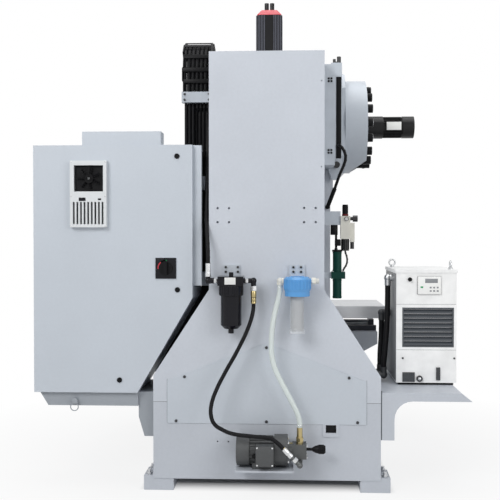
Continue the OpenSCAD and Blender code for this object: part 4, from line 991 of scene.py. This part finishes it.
class MACHINE_OT_air(bpy.types.Operator):
    """Trim of the air unit, its knob and the air dryer"""

    bl_idname = "machine.air"
    bl_label = "Air unit"

    def execute(self, context):
        collar = turned(
            "knob_collar", (AIR_X, AIR_Y, 1.7000), UP,
            [(0.0204, 0), (0.0212, 0.001), (0.0212, 0.011), (0.019, 0.0125)],
        )
        settle(collar, "dark_red", "regulator_knob")
        rib = (0.0014, 0.003, 0.052)
        grip = ribs_around("knob_grip", (AIR_X, AIR_Y, 1.7145), UP, 0.018, rib, 20)
        settle(grip, "black_plastic", "regulator_knob")
        dial = turned(
            "gauge_case", (-0.5145, 0.5915, 1.680), REAR,
            [(0.0135, 0), (0.014, 0.002), (0.014, 0.010), (0.0125, 0.012), (0.0115, 0.012),
             (0.0115, 0.0105)], 40,
        )
        settle(dial, "gloss_black")
        centre = Vector((-0.5145, 0.6021, 1.680))
        disc = [(0.0114, 0), (0.0114, 0.0004), (0.0110, 0.0006)]
        settle(turned("gauge_face", centre, REAR, disc, 40), "pale_plate")
        tick = (-0.0004, 0, 0.008), (0.0004, 0.0008, 0.0105)
        hand = (-0.0005, 0.0002, -0.003), (0.0005, 0.001, 0.0085)
        marks = []
        for (a, b), angle in [*((tick, angle) for angle in range(-135, 136, 45)), (hand, -48)]:
            mark = block("tick", centre + Vector(a), centre + Vector(b), 0.0001, 1)
            mark.data.transform(turned_about(centre, REAR, angle))
            marks.append(mark)
        settle(joined("gauge_marks", marks), "gloss_black")
        rib = (0.0015, 0.006, 0.066)
        settle(ribs_around("bowl_guard", (AIR_X, AIR_Y, 1.476), UP, 0.026, rib, 12), "black_plastic")
        rod = [(0.011, 0), (0.011, 0.020), (0.008, 0.022), (0.008, 0.112)]
        cap = [(0.033, 0), (0.034, 0.002), (0.034, 0.010), (0.030, 0.013)]
        valve = [
            block("valve", (-0.458, 0.545, 1.574), (-0.412, 0.585, 1.640), 0.003),
            block("valve", (-0.446, 0.583, 1.588), (-0.424, 0.600, 1.626), 0.002),
            turned("valve", (-0.448, 0.565, 1.464), UP, rod, 24),
            block("valve", (-0.478, 0.545, 1.502), (-0.440, 0.588, 1.546), 0.003),
            turned("valve", (DRYER_X, AIR_Y, 1.4640), UP, cap),
        ]
        settle(joined("dryer_valve", valve), "black_plastic")
        bands = [
            nut("band", (DRYER_X, AIR_Y, z), UP, 0.0305, 0.002, high, 40)
            for z, high in ((1.450, 0.0135), (1.334, 0.014), (1.270, 0.014), (1.158, 0.014))
        ]
        settle(joined("dryer_bands", bands), "green_paint")
        heads = grid((DRYER_X - 0.041, DRYER_X + 0.030), (AIR_Y - 0.026, AIR_Y + 0.026), (1.332,))
        settle(bolts("dryer_bolts", heads, UP, 0.005, 0.005), "steel")
        return {"FINISHED"}


class MACHINE_OT_filters(bpy.types.Operator):
    """Trim of the two filters and of the hose ends at them"""

    bl_idname = "machine.filters"
    bl_label = "Filters"

    def execute(self, context):
        x, y = BLACK_FILTER_X, BLACK_FILTER_Y
        plate = block("filter_head_plate", (0.180, 1.1418, 1.279), (0.246, 1.1438, 1.321), 0.0008)
        settle(plate, "pale_plate")
        heads = grid((0.149, 0.273), (1.142,), (1.286, 1.314))
        settle(bolts("filter_head_bolts", heads, REAR, 0.007, 0.006), "gloss_black")
        rib = (0.0028, 0.008, 0.053)
        collar = ribs_around("black_collar_ribs", (x, y, 1.2145), UP, 0.071, rib, 28)
        settle(collar, "gloss_black")
        trim = [
            turned("foot", (x, y, 0.982), UP, [(0.012, 0), (0.013, 0.003), (0.013, 0.016)], 6),
            ring("foot", (x, y, 1.2085), UP, 0.0625, 0.002, 48),
        ]
        settle(joined("black_bowl_trim", trim), "gloss_black")
        inlet = [
            (0.016, 0), (0.0185, 0.002), (0.0185, 0.024), (0.0162, 0.027), (0.0162, 0.081),
            (0.0130, 0.083),
        ]
        union = [(0.021, 0), (0.0225, 0.002), (0.0225, 0.020), (0.0205, 0.022)]
        nuts = [
            turned("nut", (0.292, y, PORT_Z), RIGHT, union, 6),
            nut("nut", (0.108, y, PORT_Z), RIGHT, 0.020, 0.0015, 0.020),
            nut("nut", (0.076, y, 1.238), UP, 0.0205, 0.002, 0.030),
            turned("nut", (0.350, y, 1.322), UP, inlet, 24),
        ]
        settle(joined("black_filter_nuts", nuts), "bright_steel")
        ferrule = [
            (0.0124, 0), (0.0165, 0.002), (0.0165, 0.014), (0.0152, 0.017), (0.0165, 0.020),
            (0.0165, 0.034), (0.0152, 0.037), (0.0165, 0.040), (0.0178, 0.052), (0.0178, 0.074),
            (0.016, 0.0775),
        ]
        settle(turned("pressure_hose_ferrule", (0.076, y, 1.160), UP, ferrule), "brass")

        x, y = BLUE_FILTER_X, BLUE_FILTER_Y
        rib = (0.0026, 0.011, 0.055)
        settle(ribs_around("blue_cap_ribs", (x, y, 1.252), UP, 0.080, rib, 26), "blue_cap")
        nuts = [
            nut("nut", (-0.272, y, PORT_Z), LEFT, 0.0205, 0.0015, 0.024),
            nut("nut", (-0.106, y, PORT_Z), RIGHT, 0.0185, 0.0015, 0.012),
            nut("nut", (-0.083, y, 1.277), UP, 0.020, 0.002, 0.012),
        ]
        settle(joined("blue_filter_nuts", nuts), "cream")
        rib = (0.0022, 0.0030, 0.226)
        settle(ribs_around("filter_pleats", (x, y, 1.000), UP, 0.035, rib, 40), "pleats")
        base = [(0.030, 0), (0.0355, 0.001), (0.0355, 0.007), (0.030, 0.008)]
        settle(turned("bowl_base", (x, y, 0.9995), UP, base), "grey_mark")
        ends = ((-0.083, y, 1.264), (DRAIN_X, DRAIN_Y, 0.436))
        clamps = [ring("clamp", spot, UP, 0.0165, 0.002, 32) for spot in ends]
        settle(joined("drain_hose_clamps", clamps), "bright_steel")
        return {"FINISHED"}


class MACHINE_OT_pump(bpy.types.Operator):
    """Trim of the pump, its motor and the hose ends at it"""

    bl_idname = "machine.pump"
    bl_label = "Pump"

    def execute(self, context):
        lid = block("terminal_lid", (-0.049, 1.2305, 0.2175), (0.058, 1.2365, 0.3385), 0.004)
        settle(lid, "cast_aluminium")
        heads = grid((-0.040, 0.049), (1.2365,), (0.227, 0.329))
        settle(bolts("terminal_screws", heads, REAR, 0.005, 0.003, 16), "bright_steel")
        gland = [(0.014, 0), (0.014, 0.012), (0.010, 0.013), (0.010, 0.022), (0.007, 0.024)]
        settle(turned("terminal_gland", (0.056, 1.198, 0.270), RIGHT, gland, 24), "black_plastic")
        end = (0.1745, PUMP_Y, PUMP_Z)
        radii = (0.018, 0.034, 0.050, 0.066, 0.082)
        vent = joined("pump_motor_vent", [ring("vent", end, RIGHT, r, 0.002, 48) for r in radii])
        settle(vent, "cast_aluminium")
        flange = [
            (-0.131, PUMP_Y + 0.080 * math.cos(a), PUMP_Z + 0.080 * math.sin(a))
            for a in (math.tau * (k + 0.5) / 4 for k in range(4))
        ]
        settle(bolts("pump_flange_bolts", flange, LEFT, 0.009, 0.008), "bright_steel")
        faces = grid((-0.242,), (PUMP_Y - 0.038, PUMP_Y + 0.038), (PUMP_Z - 0.034, PUMP_Z + 0.032))
        settle(bolts("pump_face_bolts", faces, LEFT, 0.007, 0.006), "bright_steel")
        rib = (0.0018, 0.004, 0.032)
        grip = ribs_around("pump_grip", (-0.347, PUMP_Y, 0.291), RIGHT, 0.026, rib, 20)
        settle(grip, "black_plastic", "pump_handle")
        start = Vector((-0.202, 1.220, 0.225))
        way = (Vector((-0.103, 1.220, 0.324)) - start).normalized()
        crimp = [
            (0.0145, 0), (0.0165, 0.002), (0.0165, 0.020), (0.0152, 0.023), (0.0165, 0.026),
            (0.0165, 0.062), (0.0150, 0.066),
        ]
        sleeve = [
            nut("sleeve", start + way * 0.030, way, 0.0185, 0.0025, 0.024),
            turned("sleeve", start + way * 0.070, way, crimp),
        ]
        settle(joined("pressure_hose_sleeve", sleeve), "bright_steel")
        settle(nut("drain_nut", (DRAIN_X, DRAIN_Y, 0.338), UP, 0.024, 0.003, 0.024), "brass")
        return {"FINISHED"}


class MACHINE_OT_chiller(bpy.types.Operator):
    """Trim of the chiller: panel, louvre core, seams and vent, with a dark side sheet and a pad under
    the case as painted shade
    """

    bl_idname = "machine.chiller"
    bl_label = "Chiller"

    def execute(self, context):
        face, top = CHILLER_FACE, CHILLER_FACE + 0.0096
        panel = block(
            "chiller_panel", (-1.1062, face + 0.0078, 1.1948), (-0.9588, top, 1.3092), 0.0008
        )
        settle(panel, "white_plate")
        under = top - 0.0002
        marks = [block("key", (-1.085, under, 1.268), (-1.005, top + 0.0012, 1.295), 0.0006)]
        marks += [
            block("key", (x, under, z), (x + 0.012, top + 0.0016, z + 0.010), 0.0008)
            for x in (-1.090, -1.068, -1.046) for z in (1.212, 1.234)
        ]
        settle(joined("chiller_keys", marks), "grey_mark")
        lamp = block("chiller_lamp", (-0.992, under, 1.236), (-0.976, top + 0.0016, 1.246), 0.0008)
        settle(lamp, "green_mark")
        core = block("core", (-1.1795, 0.7021, 0.8665), (-1.1765, 0.7035, 1.0995), 0.0003, 1)
        settle(joined("louvre_core", repeated(core, [(0.0062 * k, 0, 0) for k in range(50)])), "steel")
        seams = [
            block("seam", (-1.204, face - 0.001, z), (-0.826, face + 0.0003, z + 0.0016), 0.0002, 1)
            for z in (0.838, 1.130)
        ]
        settle(joined("chiller_seams", seams), "louvre_paint")
        slats = [
            block("slat", (-0.939, face + 0.0055, z), (-0.867, face + 0.0085, z + 0.004), 0.0008, 1)
            for z in (0.641 + 0.0085 * k for k in range(6))
        ]
        settle(joined("chiller_vent_slats", slats), "louvre_paint")
        rib = (0.0015, 0.004, 0.011)
        grip = ribs_around("chiller_cap_grip", (-0.972, face + 0.002, 0.655), REAR, 0.019, rib, 16)
        settle(grip, "black_plastic")
        # Painted shade: a thin dark sheet on the chiller's side face, the side that faces away from the
        # light
        side = block("chiller_side_shade_sheet", (-0.8240, 0.176, 0.634), (-0.8229, 0.714, 1.326), 0.0004)
        settle(side, "side_panel")
        # Painted shade: a black pad fills the gap under the chiller's case
        settle(block("chiller_shade_pad", (-1.190, 0.640, 0.6135), (-0.840, 0.708, 0.6275)), "rubber")
        boss = [(0.009, 0), (0.009, 0.002), (0.007, 0.003)]
        settle(
            turned("chiller_cap_boss", (-0.972, face + 0.0138, 0.655), REAR, boss, 24),
            "bright_steel",
        )
        return {"FINISHED"}


class MACHINE_OT_castings(bpy.types.Operator):
    """Seams between the castings, the cover's gasket, the lining of the bed's port and a strip of
    painted shadow beside the chiller's shelf
    """

    bl_idname = "machine.castings"
    bl_label = "Castings"

    def execute(self, context):
        low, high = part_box("rear_cover")
        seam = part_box("bed")[1].z
        side, face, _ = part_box("column")[1]
        sunk, proud, flush = face - 0.001, face + 0.0008, face + 0.0006
        runs = [
            ((x, sunk, low.z - 0.001), (x + 0.0016, proud, 0.69)) for x in (low.x - 0.0016, high.x)
        ]
        runs.append(((low.x, sunk, low.z - 0.0016), (high.x, proud, low.z)))
        for turn in (-1, 1):
            left, right = sorted((turn * (high.x + 0.002), turn * side))
            runs.append(((left, sunk, seam - 0.001), (right, flush, seam + 0.0008)))
        # Painted shadow: a dark strip in the gap between the bed's side and the chiller shelf's support
        runs.append(((-side - 0.0065, sunk, 0.326), (-side, flush, 0.626)))
        lines = [block("seam", a, b, 0.0003, 1) for a, b in runs]
        settle(joined("casting_seams", lines), "louvre_paint")
        lining = block("port_lining", (-0.4255, 0.984, 0.3665), (-0.3625, 0.996, 0.4145), 0.002)
        settle(lining, "rubber")
        return {"FINISHED"}


class MACHINE_OT_axes(bpy.types.Operator):
    """Screws of the rails, the spindle's keys and the wipers of the guide blocks"""

    bl_idname = "machine.axes"
    bl_label = "Axes"

    def execute(self, context):
        def row(start, count):
            return [start + RAIL_PITCH * k for k in range(count)]

        for name, places, way, body in (
            ("y_rail_screws", grid((-0.42, 0.42), row(-1.08, 12), (0.587,)), UP, "frame"),
            ("x_rail_screws", grid(row(-0.76, 15), (-0.69, -0.27), (0.888,)), UP, "saddle"),
            ("z_rail_screws", grid((-0.28, 0.28), (0.182,), row(1.24, 14)), FRONT, "frame"),
        ):
            settle(bolts(name, places, way, 0.010, 0.0002, 20), "louvre_paint", body)
        keys = [
            block("key", (x - 0.008, -0.488, 1.7835), (x + 0.008, -0.472, 1.798))
            for x in (-0.034, 0.034)
        ]
        settle(joined("spindle_keys", keys), "bright_steel", "spindle")
        flange = [
            (0.119 * math.cos(a), -0.48 + 0.119 * math.sin(a), 1.904)
            for a in (math.tau * k / 8 for k in range(8))
        ]
        settle(bolts("cartridge_bolts", flange, DOWN, 0.008, 0.006), "louvre_paint", "head")
        wipers = [
            block("wiper", (x - 0.046, y, 0.592), (x + 0.046, y + 0.004, 0.626))
            for x in (-0.42, 0.42) for y in (-0.784, -0.640, -0.324, -0.180)
        ]
        settle(joined("saddle_wipers", wipers), "black_plastic", "saddle")
        front = grid((-0.165, 0.165), (-0.6599,), (1.97, 2.10, 2.23, 2.36))
        settle(bolts("head_front_screws", front, FRONT, 0.007, 0.005), "louvre_paint", "head")
        return {"FINISHED"}


class MACHINE_PT_panel(bpy.types.Panel):
    """Lists the pieces and settings in the sidebar"""

    bl_idname = "MACHINE_PT_panel"
    bl_label = "Machining Center"
    bl_space_type = "VIEW_3D"
    bl_region_type = "UI"
    bl_category = "Machine"

    def draw(self, context):
        for operator in OPERATORS:
            self.layout.operator(operator.bl_idname)
        for group in (context.scene.machine_colours, context.scene.machine_sizes):
            for name in group.__annotations__:
                self.layout.prop(group, name)


OPERATORS = (
    MACHINE_OT_stage, MACHINE_OT_hoses, MACHINE_OT_finishes, MACHINE_OT_energy_chain,
    MACHINE_OT_servo_motors, MACHINE_OT_cabinet, MACHINE_OT_magazine, MACHINE_OT_air,
    MACHINE_OT_filters, MACHINE_OT_pump, MACHINE_OT_chiller, MACHINE_OT_castings, MACHINE_OT_axes,
)
CLASSES = (MachineColours, MachineSizes, *OPERATORS, MACHINE_PT_panel)


def register():
    for cls in CLASSES:
        bpy.utils.register_class(cls)
    bpy.types.Scene.machine_colours = bpy.props.PointerProperty(type=MachineColours)
    bpy.types.Scene.machine_sizes = bpy.props.PointerProperty(type=MachineSizes)


def unregister():
    del bpy.types.Scene.machine_colours
    del bpy.types.Scene.machine_sizes
    for cls in reversed(CLASSES):
        bpy.utils.unregister_class(cls)


def main():
    register()
    bpy.ops.machine.stage()
    bpy.ops.machine.hoses()
    bpy.ops.machine.finishes()
    bpy.ops.machine.energy_chain()
    bpy.ops.machine.servo_motors()
    bpy.ops.machine.cabinet()
    bpy.ops.machine.magazine()
    bpy.ops.machine.air()
    bpy.ops.machine.filters()
    bpy.ops.machine.pump()
    bpy.ops.machine.chiller()
    bpy.ops.machine.castings()
    bpy.ops.machine.axes()


if __name__ == "__main__":
    main()
